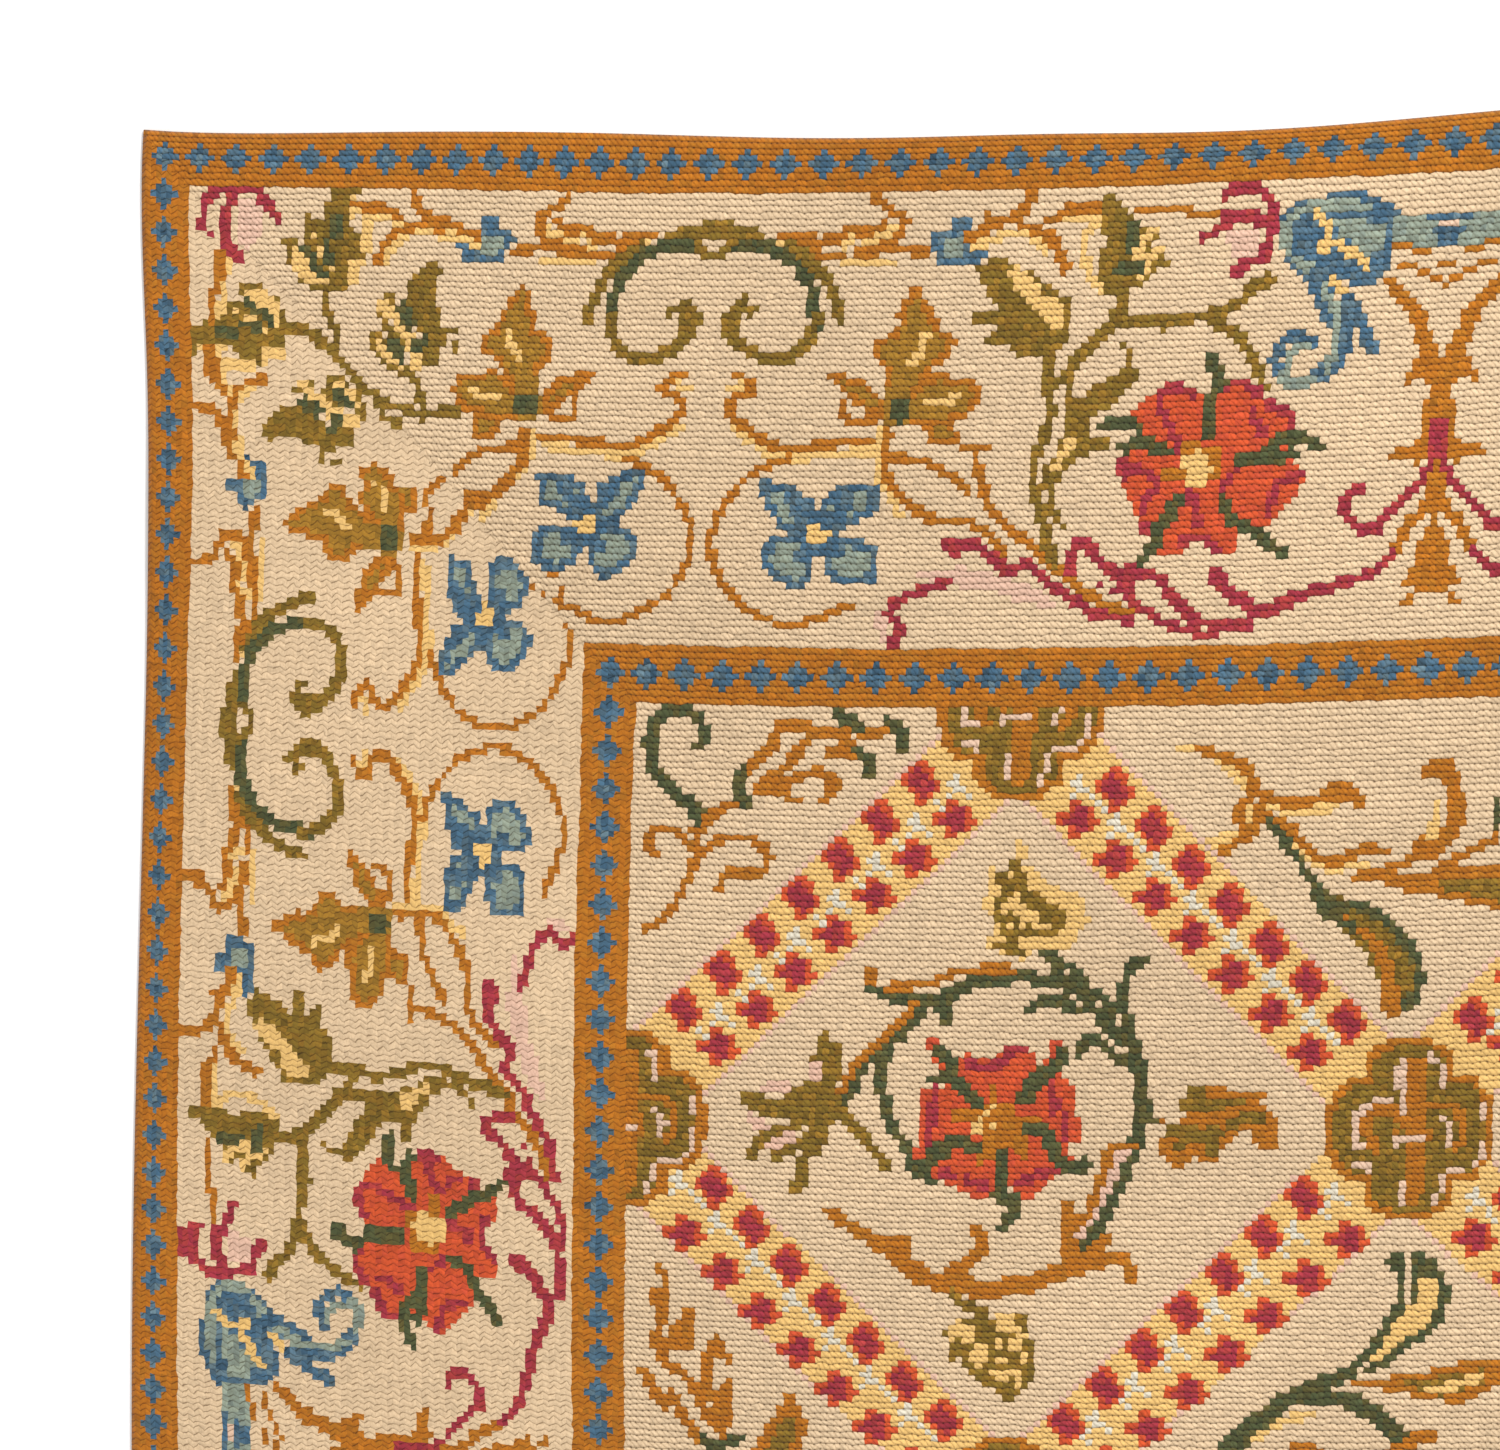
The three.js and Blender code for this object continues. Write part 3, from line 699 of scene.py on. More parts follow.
def gold_scroll(pen):
    pen.line("gold", (1.5, 3), (119, 165.3), (122, 167.5), (126, 169.7), (130, 173), (134, 175.7),
             (139, 176.7))
    pen.line("gold", (3, 2.2), (139, 176.7), (144, 177.2), (150, 176.3), (155, 174.3), (160, 172.8),
             (162.3, 172.3))
    pen.fill("gold", (124, 168.3), (131.5, 169.2), (132, 172.3), (135, 174), (134, 175.5), (128, 172))
    pen.line("gold", 2, (142.4, 167.8), (143, 171), (141, 173), (138, 174.7))
    pen.fill("gold", (155, 163), (156.7, 163.5), (158.5, 166.3), (157.3, 168.5), (158.3, 170.3),
             (156, 174.3), (154.8, 174))
    pen.line("gold", 1.7, (162.5, 168.7), (160.7, 170.2), (157.5, 172.5))
    pen.line("gold", 1.8, (161.5, 171.7), (165, 172), (166, 174.7))


def dotted_bud(pen):
    pen.line("olive", 1.4, (138.7, 178), (140.5, 179.8), (143, 181), (144.3, 183))
    pen.fill("olive", (137.5, 184.5), (140, 182.5), (144, 182), (147.5, 180.7), (150.5, 180.8),
             (150.3, 184), (151.4, 187.5), (150.8, 191.5), (147, 195.4), (144.7, 192.5), (143.3, 193.3),
             (141, 190.5), (139.7, 188.3), (137.6, 188.7))
    pen.fill("yellow", (138, 183.3), (139.7, 182), (142, 183.5), (141.5, 186), (139.5, 185.3), (138, 186))
    pen.fill("yellow", (144.7, 181.2), (147.7, 181), (148.7, 183.7), (145.5, 184))
    pen.fill("yellow", (140.3, 187), (143.5, 186.2), (144.3, 188.3), (143, 190), (141, 188.6))
    pen.dots("yellow", 0.9, (145.5, 186), (147.7, 186.3), (148.7, 184.7), (149.5, 187.7), (146, 188.5),
             (148.2, 190.5), (146.3, 191.3), (148.7, 192), (145, 190.3))


def rose_cell(pen):
    for motif in (yellow_leaf, wreath, cell_rose, palmette, gold_leaf, gold_scroll, dotted_bud):
        motif(pen)


def end_motif(pen):
    """The half cell at the middle of an end."""
    pen.line("yellow", 1.3, (171.5, 93.6), (175, 93.5), (179, 96.5), (182.5, 100.5))
    pen.line("yellow", 1.3, (186, 102.6), (190, 103.3), (195, 102.7))
    pen.line("gold", 1.5, (175, 93.6), (181, 96), (184, 100.4), (190, 102), (195, 101), (199.7, 102))
    pen.fill("gold", (194.3, 98.8), (197.7, 98.8), (199, 101.5), (195, 101.7))
    pen.line("yellow", 1.5, (183, 102.3), (182.7, 105.5), (177.3, 107.7))
    pen.line("gold", 1.3, (182.5, 100.8), (181.2, 102.5), (181.2, 105))
    pen.line("gold", 1.4, (184.3, 102.5), (183, 106), (178.8, 109.2))
    pen.line("yellow", 1.3, (189.5, 108.5), (194.5, 111.8), (200, 111.3))
    pen.line("gold", 1.4, (184.5, 104), (188.3, 105.4), (192.3, 109.7), (196, 111.2), (199.5, 109),
             (203, 109.6))
    pen.line("yellow", 1.8, (210.5, 103), (210.3, 106), (208.5, 109))
    pen.line("gold", 2.5, (209.3, 97.6), (211.6, 97.3), (213.4, 102), (212.7, 107), (209.7, 110))
    pen.line("gold", 1.5, (208.5, 108), (206, 111.3), (199.3, 113.3))
    pen.fill("gold", (199, 113.5), (207, 113), (214, 112.3), (224, 112.3), (232, 116), (224, 119.7),
             (216, 117.7), (207, 115.7))
    pen.fill("olive", (210, 114), (222, 113.7), (228, 116), (221, 117.7), (212, 115.7))
    for across in range(5):
        pen.line("gold", 1.2, (210.5 + 2 * across, 112.3 - across), (211.8 + 2 * across, 112.1 - across))
    pen.line("green", 1.6, (219.5, 103), (219.7, 106))
    pen.line("green", 1.4, (185.7, 104.8), (188.7, 109), (193, 115))
    pen.fill("olive", (192.5, 114.7), (199.5, 117.3), (205.5, 121.7), (208.8, 128), (207.5, 132.5),
             (205, 135.2), (203.3, 130), (200, 124), (194, 118.7))
    pen.line("gold", (1, 2.6), (197, 119.7), (201.3, 123), (203.7, 127.5), (204.8, 134))
    pen.line("green", 1.6, (192.8, 115), (196, 117.7), (199.7, 117.7), (204, 120.6), (207.5, 125),
             (208.7, 130), (206.8, 133.5))
    pen.line("green", 1.6, (192.5, 115.5), (195, 119), (198.5, 121))


def middle_motif(pen):
    """The full cell under the middle medallion."""
    pen.fill("yellow", (210.7, 173), (212, 176), (211.8, 180), (210, 183.5), (207, 185), (203.5, 188.7),
             (201, 188), (203.5, 185.5), (205.7, 182), (206.3, 180), (208.7, 179), (209.5, 175))
    pen.fill("green", (204.3, 172.5), (205.5, 171), (207.3, 171.3), (207, 174.3), (205.3, 174.3))
    pen.line("green", 1.3, (206.4, 174), (206.3, 179), (205, 181.5), (203, 185), (200.3, 188), (199, 189.8))
    pen.line("green", 1.7, (209, 171.8), (209.6, 174.5))
    pen.line("green", 1.2, (208.6, 175), (208.3, 178))
    pen.line("green", 1.4, (210.7, 172.3), (212.6, 176), (212.6, 179.3), (210.7, 183), (207.3, 185.3),
             (205, 187.7), (201.5, 189.4))
    pen.line("yellow", 1.4, (193, 196.3), (188, 198.3), (182, 202))
    pen.line("green", (2, 3), (199.5, 190), (195, 191.5), (190.5, 193.5), (186, 197), (180.5, 202.3))
    pen.line("green", 2.6, (191.5, 193.7), (199, 194.3), (203, 196.7), (206, 199.5), (208, 204))
    pen.line("green", 1.2, (206, 199.7), (208.3, 199.8))
    pen.fill("gold", (197, 191), (208, 190.3), (215, 188.5), (224, 187.3), (222, 191.5), (215, 195),
             (208, 193.5))
    pen.fill("olive", (207, 191.3), (219, 189.3), (219, 191.7), (212, 193.7))
    pen.line("yellow", 1.2, (210.5, 192.7), (214, 192), (218.5, 190.5))
    pen.line("gold", 1.8, (205, 203), (208, 200.8), (211, 199.7))
    pen.line("green", (3, 1.6), (180.5, 202.3), (177, 210), (178, 220), (184, 229), (193, 235))
    pen.line("gold", 1.6, (191, 202), (194, 202.5), (197, 206))
    pen.line("green", (2.2, 1.5), (208, 204), (212, 212), (211, 222), (205, 231))
    pen.fill("gold", (193, 235), (201, 231), (209, 236), (213, 245), (206, 247), (197, 243))
    pen.fill("olive", (198, 236), (204, 235.5), (209, 242), (202, 242))
    beyond, below = LOWER_ROSE_FROM_UPPER
    origin = (pen.origin[0] + pen.across * beyond, pen.origin[1] + pen.down * below)
    cell_rose(Pen(pen.grid, origin, pen.across, pen.down))


def side_motif(pen):
    """The half cell at the middle of a side's upper half."""
    pen.line("gold", 1.3, (92.2, 175.8), (93.3, 177), (93.4, 180), (92.2, 181.5), (93, 184), (92, 187.5),
             (93, 190))
    pen.line("gold", 1.3, (92, 180), (93.3, 182))
    pen.line("gold", 1.3, (92.5, 188.5), (94.5, 187.7), (94.4, 186), (96, 184.5), (97, 183))
    pen.fill("gold", (95.3, 184), (97.6, 182.3), (97.7, 188.7), (95.3, 188.7))
    pen.line("gold", 1.6, (93, 190.7), (95.5, 192.3), (98.5, 195.5), (99.5, 198), (101.5, 201),
             (102.5, 202.3))
    pen.line("gold", 1.7, (90, 192.3), (91.5, 195), (93.5, 197.7))
    pen.line("gold", 1.7, (94.5, 196.3), (96, 199), (98.8, 202.8))
    pen.fill("gold", (101, 185.7), (102.3, 186), (103.3, 188.7), (104.3, 190.8), (102, 190.3),
             (99.2, 189.8), (99.8, 188))
    pen.line("gold", 1.3, (99.9, 189.5), (99.9, 193.3), (101.2, 196.5))
    pen.fill("gold", (101, 195), (102.3, 194), (103.5, 192.7), (104.3, 193.5), (103.7, 200), (103, 202.5),
             (101.8, 202))
    pen.line("green", 1.5, (99.5, 203), (102, 204.2), (104.7, 202.6))
    pen.line("green", (1.6, 2.2), (102, 204), (103, 213), (99, 222), (92, 228))
    pen.patch("olive", "gold", 1.7, (113, 196), (115, 200), (113.7, 207), (108, 214), (105, 212),
              (109, 203))


def field(grid):
    lattice(grid)
    for across in (1, -1):
        for down in (1, -1):
            pen = Pen(grid, (0 if across == 1 else COLUMNS, 0 if down == 1 else ROWS), across, down)
            corner_motif(pen)
            side_motif(pen)
            rose_cell(pen)
        rose_cell(Pen(grid, (0 if across == 1 else COLUMNS, 2 * HALF_PITCH[1]), across))
    for pen in (Pen(grid), Pen(grid, (COLUMNS, ROWS), -1, -1)):
        end_motif(pen)
        middle_motif(pen)


# The whole work

def diamonds(along, depth, first):
    """Whether a stitch is in one of a guard's diamonds."""
    step = np.abs((along - first + GUARD_REPEAT / 2) % GUARD_REPEAT - GUARD_REPEAT / 2)
    return step + np.abs(depth - first) <= 2


# The side strips repeat the end strips, but their motifs lie a little nearer the corner and further in
SIDE_NEARER = ((16, 50, 62, 128, 140, 160, 185), (0, 2.2, 3, 3, 2, 1, 0))
SIDE_FURTHER_IN = ((9, 12, 30, 60, 74, 78), (0, 2, 2, 1.4, 1.4, 0))


def side_place(from_end, depth):
    """Where in the end strip's drawing a stitch of a side strip is found: its row there and its column."""
    column = from_end + np.rint(np.interp(from_end, *SIDE_NEARER)).astype(int)
    further_in = np.interp(depth, *SIDE_FURTHER_IN) * np.interp(from_end, (25, 60), (0, 1))
    return depth - np.rint(further_in).astype(int), column


def whole_chart():
    grid = np.full((ROWS, COLUMNS), WOOL_NUMBER["cream"], np.uint8)
    field(grid)
    c, r = np.meshgrid(np.arange(COLUMNS), np.arange(ROWS))
    from_side = np.minimum(c, COLUMNS - 1 - c)
    from_end = np.minimum(r, ROWS - 1 - r)
    depth = np.minimum(from_side, from_end)
    in_end = from_end <= from_side
    side_row, side_column = side_place(from_end, depth)
    folded = np.where(side_column <= MIDDLE, side_column, COLUMNS - 1 - side_column)
    strip_row = np.where(in_end, depth, side_row)
    strip_column = np.where(in_end, c, folded)
    strip = border_strip()
    border = depth < STRIP
    grid[border] = strip[strip_row[border], strip_column[border]]
    for across in (1, -1):
        for down in (1, -1):
            corner_spray(Pen(grid, (0 if across == 1 else COLUMNS, 0 if down == 1 else ROWS), across, down))
    run = np.where(in_end, c, r)
    for first_row in (0, STRIP - GUARD):
        band = (depth >= first_row) & (depth < first_row + GUARD)
        blue = diamonds(run, depth, first_row + GUARD // 2)
        grid[band] = np.where(blue[band], WOOL_NUMBER["blue"], WOOL_NUMBER["gold"])
    return grid


# The sheet: where each corner of a stitch lies, in millimetres, before it is centred

COLUMN_PITCH = 4.4
ROW_PITCH = 4
SIDE_STRIP_TIGHTNESS = 0.93
END_STRIP_TIGHTNESS = 0.98
THICKNESS = 5
RIM_SHARE = 0.45      # of the thickness, the upright part of the edge
HEM = 2               # outermost stitches, which roll over the edge
SIDE_BOW = 64
END_BOW = 49
BOW_LOST = 0.6
ROW_CREEP = 90
CORNER_PULL = {"across": -17, "along": -4, "reach": 110}
EDGE_WAVES = (
    {"side": "top", "middle": 0.26, "inward": 3, "reach": 70},
    {"side": "top", "middle": 0.71, "inward": 3, "reach": 90},
    {"side": "left", "middle": 0.18, "inward": 5, "reach": 230},
    {"side": "right", "middle": 0.38, "inward": 4, "reach": 120},
    {"side": "right", "middle": 0.76, "inward": 3, "reach": 90},
    {"side": "bottom", "middle": 0.31, "inward": 3, "reach": 100},
    {"side": "bottom", "middle": 0.64, "inward": 4, "reach": 80},
)
# Where the outermost rows also roll under, so the edge is drawn in further
EDGE_ROLLS = (
    {"side": "top", "middle": 0.02, "inward": 4, "reach": 110},
    {"side": "top", "middle": 0.31, "inward": 1.8, "reach": 60},
    {"side": "top", "middle": 0.425, "inward": 6.4, "reach": 110},
    {"side": "left", "middle": 0.3, "inward": 1.8, "reach": 480},
    {"side": "right", "middle": 0.55, "inward": 4, "reach": 130},
    {"side": "bottom", "middle": 0.47, "inward": 4, "reach": 140},
)
ROLL_ROWS = 6         # rows that are drawn together where the edge comes in
LIFTS = (
    {"column": 417, "row": 0, "height": 4, "reach": 70},
    {"column": 0, "row": 567, "height": 3, "reach": 60},
    {"column": 300, "row": 0, "height": 2.5, "reach": 55},
    {"column": 0, "row": 62, "height": 2, "reach": 50},
    {"column": 417, "row": 346, "height": 3, "reach": 60},
    {"column": 172, "row": 567, "height": 2.5, "reach": 55},
)
LIFT_DEAD = 0.15
WAVER = 0.7           # how far rows and columns stray from their line
UNEVEN = 0.45         # how far single stitches stray
PUCKER = 0.35         # how far the face rises and falls
EVEN_RIM = 4          # stitches beside the edge over which all this fades out
# Sizes in stitches, down and across, of the lumps that the waver and the pucker come in
WAVER_LUMPS = (7, 26)
PUCKER_LUMPS = (11, 13)
FINE_PUCKER_LUMPS = (4, 5)
CELL = 21             # stitches along a cell of the underside
MM = 0.001


def tightened(count, half, tightness, pitch):
    field_half = half - STRIP
    beyond = np.maximum(np.abs(count) - field_half, 0)
    return np.sign(count) * (np.minimum(np.abs(count), field_half) + beyond * tightness) * pitch


def bow_left(beyond):
    share = np.clip(beyond, 0, 1)
    return 1 - BOW_LOST * share * share * (3 - 2 * share)


def gauss(away):
    return np.exp(-away * away / 2)


def inward_at(side, share, length, waves):
    inward = 0
    for wave in waves:
        if wave["side"] == side:
            inward = inward + wave["inward"] * gauss((share - wave["middle"]) * length / wave["reach"])
    return inward


def place(c, r, waves=EDGE_WAVES):
    """The place in plan of each stitch corner. The rows beside an edge come in with its waves."""
    u = 2 * c / COLUMNS - 1
    v = 2 * r / ROWS - 1
    across = tightened(c - COLUMNS / 2, COLUMNS / 2, SIDE_STRIP_TIGHTNESS, COLUMN_PITCH)
    along = tightened(r - ROWS / 2, ROWS / 2, END_STRIP_TIGHTNESS, ROW_PITCH)
    pull = gauss(np.hypot(c * COLUMN_PITCH, r * ROW_PITCH) / CORNER_PULL["reach"])
    x = across + SIDE_BOW * v * v * bow_left(u) + CORNER_PULL["across"] * pull
    y = -along + END_BOW * u * u * bow_left(v) - ROW_CREEP * v * np.abs(v) + CORNER_PULL["along"] * pull
    width, length = COLUMNS * COLUMN_PITCH, ROWS * ROW_PITCH
    for side, edge, share, span in (("left", c, r / ROWS, length), ("right", COLUMNS - c, r / ROWS, length)):
        inward = inward_at(side, share, span, waves) * np.clip(1 - edge / ROLL_ROWS, 0, 1)
        x += inward if side == "left" else -inward
    for side, edge, share, span in (("top", r, c / COLUMNS, width), ("bottom", ROWS - r, c / COLUMNS, width)):
        inward = inward_at(side, share, span, waves) * np.clip(1 - edge / ROLL_ROWS, 0, 1)
        y += -inward if side == "top" else inward
    return x, y


def lift_at(c, r):
    lift = np.zeros(c.shape)
    for spot in LIFTS:
        across = (c - spot["column"]) * COLUMN_PITCH / spot["reach"]
        along = (r - spot["row"]) * ROW_PITCH / spot["reach"]
        lift += spot["height"] * gauss(np.hypot(across, along))
    return np.maximum(lift - LIFT_DEAD, 0)


def soft_noise(rng, shape, step):
    """Smooth noise from -1 to 1 with lumps of about this many stitches."""
    coarse = rng.uniform(-1, 1, (shape[0] // step[0] + 4, shape[1] // step[1] + 4))
    y = np.arange(shape[0]) / step[0]
    x = np.arange(shape[1]) / step[1]
    j, i = np.floor(y).astype(int), np.floor(x).astype(int)
    fy, fx = y - j, x - i
    fy, fx = (fy * fy * (3 - 2 * fy))[:, None], (fx * fx * (3 - 2 * fx))[None, :]
    upper = coarse[np.ix_(j, i)] * (1 - fx) + coarse[np.ix_(j, i + 1)] * fx
    lower = coarse[np.ix_(j + 1, i)] * (1 - fx) + coarse[np.ix_(j + 1, i + 1)] * fx
    return upper * (1 - fy) + lower * fy


# Creases that run along the rows, as slight troughs: where they start and end, in columns, and their row
CREASES = (
    {"from": 168, "to": 208, "row": 186, "depth": 0.5},
    {"from": 196, "to": 232, "row": 100, "depth": 0.7},
    {"from": 20, "to": 64, "row": 318, "depth": 0.5},
    {"from": 250, "to": 300, "row": 402, "depth": 0.6},
)
CREASE_WIDTH = 1.2    # stitches, half the width of a trough
CREASE_ENDS = 1.6     # the higher, the sooner a trough fades towards its ends


def crease_at(c, r):
    depth = np.zeros(c.shape)
    for crease in CREASES:
        middle = (crease["from"] + crease["to"]) / 2
        half = (crease["to"] - crease["from"]) / 2
        across = gauss((r - crease["row"]) / CREASE_WIDTH)
        depth += crease["depth"] * across * gauss((c - middle) / half * CREASE_ENDS)
    return depth


def sheet_points():
    """Upper and lower places of all stitch corners, in metres, in the frame of the solid."""
    rng = np.random.default_rng(7)
    c, r = np.meshgrid(np.arange(COLUMNS + 1.0), np.arange(ROWS + 1.0))
    shift = [-(v.min() + v.max()) / 2 for v in place(c, r)]
    x, y = place(c, r, EDGE_WAVES + EDGE_ROLLS)
    in_from_edge = np.minimum.reduce([c, COLUMNS - c, r, ROWS - r])
    free = np.clip((in_from_edge - 1) / EVEN_RIM, 0, 1)
    y += WAVER * free * soft_noise(rng, c.shape, WAVER_LUMPS)
    x += WAVER * free * soft_noise(rng, c.shape, WAVER_LUMPS[::-1])
    x += UNEVEN * free * np.clip(rng.normal(0, 1, c.shape), -2, 2)
    y += UNEVEN * free * np.clip(rng.normal(0, 1, c.shape), -2, 2)
    roll = 1 - np.clip(in_from_edge / HEM, 0, 1)
    face = THICKNESS * (RIM_SHARE + (1 - RIM_SHARE) * np.sqrt(1 - roll ** 2))
    broad = 0.4 * soft_noise(rng, c.shape, PUCKER_LUMPS)
    fine = 0.3 * soft_noise(rng, c.shape, FINE_PUCKER_LUMPS)
    face -= free * PUCKER * (0.6 + broad + fine)
    face -= crease_at(c, r)
    lift = lift_at(c, r)
    upper = np.stack([x + shift[0], y + shift[1], lift + face], -1) * MM
    lower = np.stack([x + shift[0], y + shift[1], lift], -1) * MM
    return upper, lower


LIGHT = 1.385         # brightness of a white face under the lights
# How much the shade differs from strand to strand, over wide and small places and from row to row
STRAND_SHADE = 0.045
WIDE_SHADE = 0.045
SMALL_SHADE = 0.03
ROW_SHADE = 0.02

# Wools that are spun of several shades: how much single stitches differ, and what other wool they lean to
HEATHERED = {
    "blue": {"depth": 0.17, "other": "teal", "share": 0.14},
    "teal": {"depth": 0.12, "other": "blue", "share": 0.1},
    "olive": {"depth": 0.14, "other": "moss", "share": 0.3},
    "green": {"depth": 0.12, "other": "olive", "share": 0.2},
    "moss": {"depth": 0.1, "other": "olive", "share": 0.2},
    "gold": {"depth": 0.08, "other": "moss", "share": 0.15},
    "crimson": {"depth": 0.1, "other": "red", "share": 0.15},
    "red": {"depth": 0.07, "other": "crimson", "share": 0.12},
}


def wool_colours(chart):
    """The colour of every stitch, linear, with the differences between strands, rows and places."""
    rng = np.random.default_rng(11)
    srgb = np.array(list(WOOLS.values()), float) / 255
    linear = np.where(srgb <= 0.04045, srgb / 12.92, ((srgb + 0.055) / 1.055) ** 2.4)
    colour = linear[chart] / LIGHT
    strand = np.clip(rng.normal(0, 1, chart.shape), -2.5, 2.5)
    heather = np.clip(rng.normal(0, 1, chart.shape), -2, 2)
    lean = rng.uniform(0, 1, chart.shape) ** 2
    for name, mix in HEATHERED.items():
        here = chart == WOOL_NUMBER[name]
        other = linear[WOOL_NUMBER[mix["other"]]] / LIGHT
        share = (mix["share"] * 2 * lean[here])[:, None]
        colour[here] = colour[here] * (1 - share) + other * share
        colour[here] *= (1 + mix["depth"] * heather[here])[:, None]
    wide = WIDE_SHADE * soft_noise(rng, chart.shape, (30, 40))
    small = SMALL_SHADE * soft_noise(rng, chart.shape, (9, 14))
    by_row = ROW_SHADE * soft_noise(rng, chart.shape, (1, 30))
    colour *= (1 + STRAND_SHADE * strand + (wide + small) + by_row)[..., None]
    return np.clip(colour, 0, 1)


# Pieces: the field and four mitred strips, each a closed sheet worked in its own direction

SHARP_FROM = math.radians(62)
CANVAS = (0.42, 0.33, 0.2)     # colour of the underside, linear
WALL_DROP = 0.6                # stitches that the strands run on down the wall
# Bands of the map for baking, each with its start and size: the face, the underside and the walls
FACE_BAND = {"u": (0.002, 0.996), "v": (0.05, 0.948)}
UNDER_BAND = {"u": (0.02, 0.96), "v": (0.004, 0.02)}
WALL_BAND = (0.03, 0.012)


def field_mask(c, r):
    return (c >= STRIP) & (c < COLUMNS - STRIP) & (r >= STRIP) & (r < ROWS - STRIP)


def strip_masks(c, r):
    from_side = np.minimum(c, COLUMNS - 1 - c)
    from_end = np.minimum(r, ROWS - 1 - r)
    border = np.minimum(from_side, from_end) < STRIP
    in_end = border & (from_end <= from_side)
    in_side = border & ~in_end
    upper, left = r < ROWS / 2, c < COLUMNS / 2
    return {"border_top": in_end & upper, "border_bottom": in_end & ~upper,
            "border_left": in_side & left, "border_right": in_side & ~left}


def closed_sheet(name, mask, upper, lower, colours, along_rows):
    """A closed mesh of the masked stitches: their faces, walls around them and an underside of wide cells."""
    rows, columns = np.nonzero(mask)
    wide = COLUMNS + 1
    corner = rows * wide + columns
    tops = np.stack([corner + wide, corner + wide + 1, corner + 1, corner], 1)
    walls, wall_stitch = open_sides(mask, rows, columns, corner)
    used = np.unique(tops)
    under = underside(mask, np.unique(walls))
    ring = np.unique(np.concatenate([walls.ravel(), *under]))
    top_index = numbered(used, 0)
    low_index = numbered(ring, len(used))
    points = np.vstack([upper.reshape(-1, 3)[used], lower.reshape(-1, 3)[ring]])
    wall_faces = np.stack([top_index[walls[:, 0]], top_index[walls[:, 1]],
                           low_index[walls[:, 1]], low_index[walls[:, 0]]], 1)
    quads = np.vstack([top_index[tops], wall_faces])
    under = [low_index[face] for face in under]
    loops = np.concatenate([quads.ravel(), *under])
    sizes = np.array([4] * len(quads) + [len(face) for face in under])
    mesh = mesh_of(name, points, loops, sizes)
    grid_place = np.concatenate([used, ring])[loops]
    low = loops >= len(used)
    paint(mesh, grid_place, low, sizes, colours[rows, columns], wall_stitch, along_rows)
    mesh.validate()
    mesh.shade_smooth()
    mesh.set_sharp_from_angle(angle=SHARP_FROM)
    piece = bpy.data.objects.new(name, mesh)
    bpy.context.collection.objects.link(piece)
    return piece


def open_sides(mask, rows, columns, corner):
    """Stretches of the outline, as pairs of stitch corners, and the stitch that each belongs to."""
    wide = COLUMNS + 1
    padded = np.pad(mask, 1)
    walls = []
    wall_stitch = []
    directions = ((-1, 0, 0, 1), (1, 0, wide + 1, wide), (0, -1, wide, 0), (0, 1, 1, wide + 1))
    for dr, dc, first, second in directions:
        open_side = ~padded[rows + 1 + dr, columns + 1 + dc]
        walls.append(np.stack([corner[open_side] + first, corner[open_side] + second], 1))
        wall_stitch.append(np.nonzero(open_side)[0])
    return np.vstack(walls), np.concatenate(wall_stitch)


def numbered(corners, first):
    """The number in the mesh of each of these stitch corners, counted from the first."""
    index = np.full((COLUMNS + 1) * (ROWS + 1), -1)
    index[corners] = first + np.arange(len(corners))
    return index


def mesh_of(name, points, loops, sizes):
    """A mesh of faces of these sizes, with their corners one after another in loops."""
    starts = np.concatenate([[0], np.cumsum(sizes)[:-1]])
    mesh = bpy.data.meshes.new(name)
    mesh.vertices.add(len(points))
    mesh.vertices.foreach_set("co", points.ravel())
    mesh.loops.add(len(loops))
    mesh.loops.foreach_set("vertex_index", loops.astype(np.int32))
    mesh.polygons.add(len(sizes))
    mesh.polygons.foreach_set("loop_start", starts.astype(np.int32))
    mesh.update(calc_edges=True)
    return mesh


def underside(mask, ring):
    """Faces of the underside, pointing down: wide cells with every stitch corner of the piece's own edge."""
    faces = []
    on_edge = set(ring.tolist())
    for first_row in range(0, ROWS, CELL):
        for first_column in range(0, COLUMNS, CELL):
            block = mask[first_row:first_row + CELL, first_column:first_column + CELL]
            if block.any():
                faces.append(cell_face(outline_of(block, first_row, first_column), on_edge))
    return faces


def outline_of(block, first_row, first_column):
    """The turning points around the stitches of a block, whose rows are unbroken."""
    down, up = [], []
    for row in np.nonzero(block.any(1))[0]:
        inside = np.nonzero(block[row])[0]
        start, end = first_column + inside[0], first_column + inside[-1] + 1
        down += [(end, first_row + row), (end, first_row + row + 1)]
        up += [(start, first_row + row), (start, first_row + row + 1)]
    return down + up[::-1]


def cell_face(turns, on_edge):
    """Stitch corners around a cell, only those that another face also has."""
    face = []
    for (c, r), (next_c, next_r) in zip(turns, turns[1:] + turns[:1]):
        count = abs(next_c - c) + abs(next_r - r)
        for step in range(count):
            place_c = c + step * (next_c - c) // count
            place_r = r + step * (next_r - r) // count
            place_now = int(place_r * (COLUMNS + 1) + place_c)
            if place_now in on_edge or (place_c % CELL == 0 and place_r % CELL == 0):
                face.append(place_now)
    return np.array(face)


def in_band(band, share):
    start, size = band
    return start + size * share


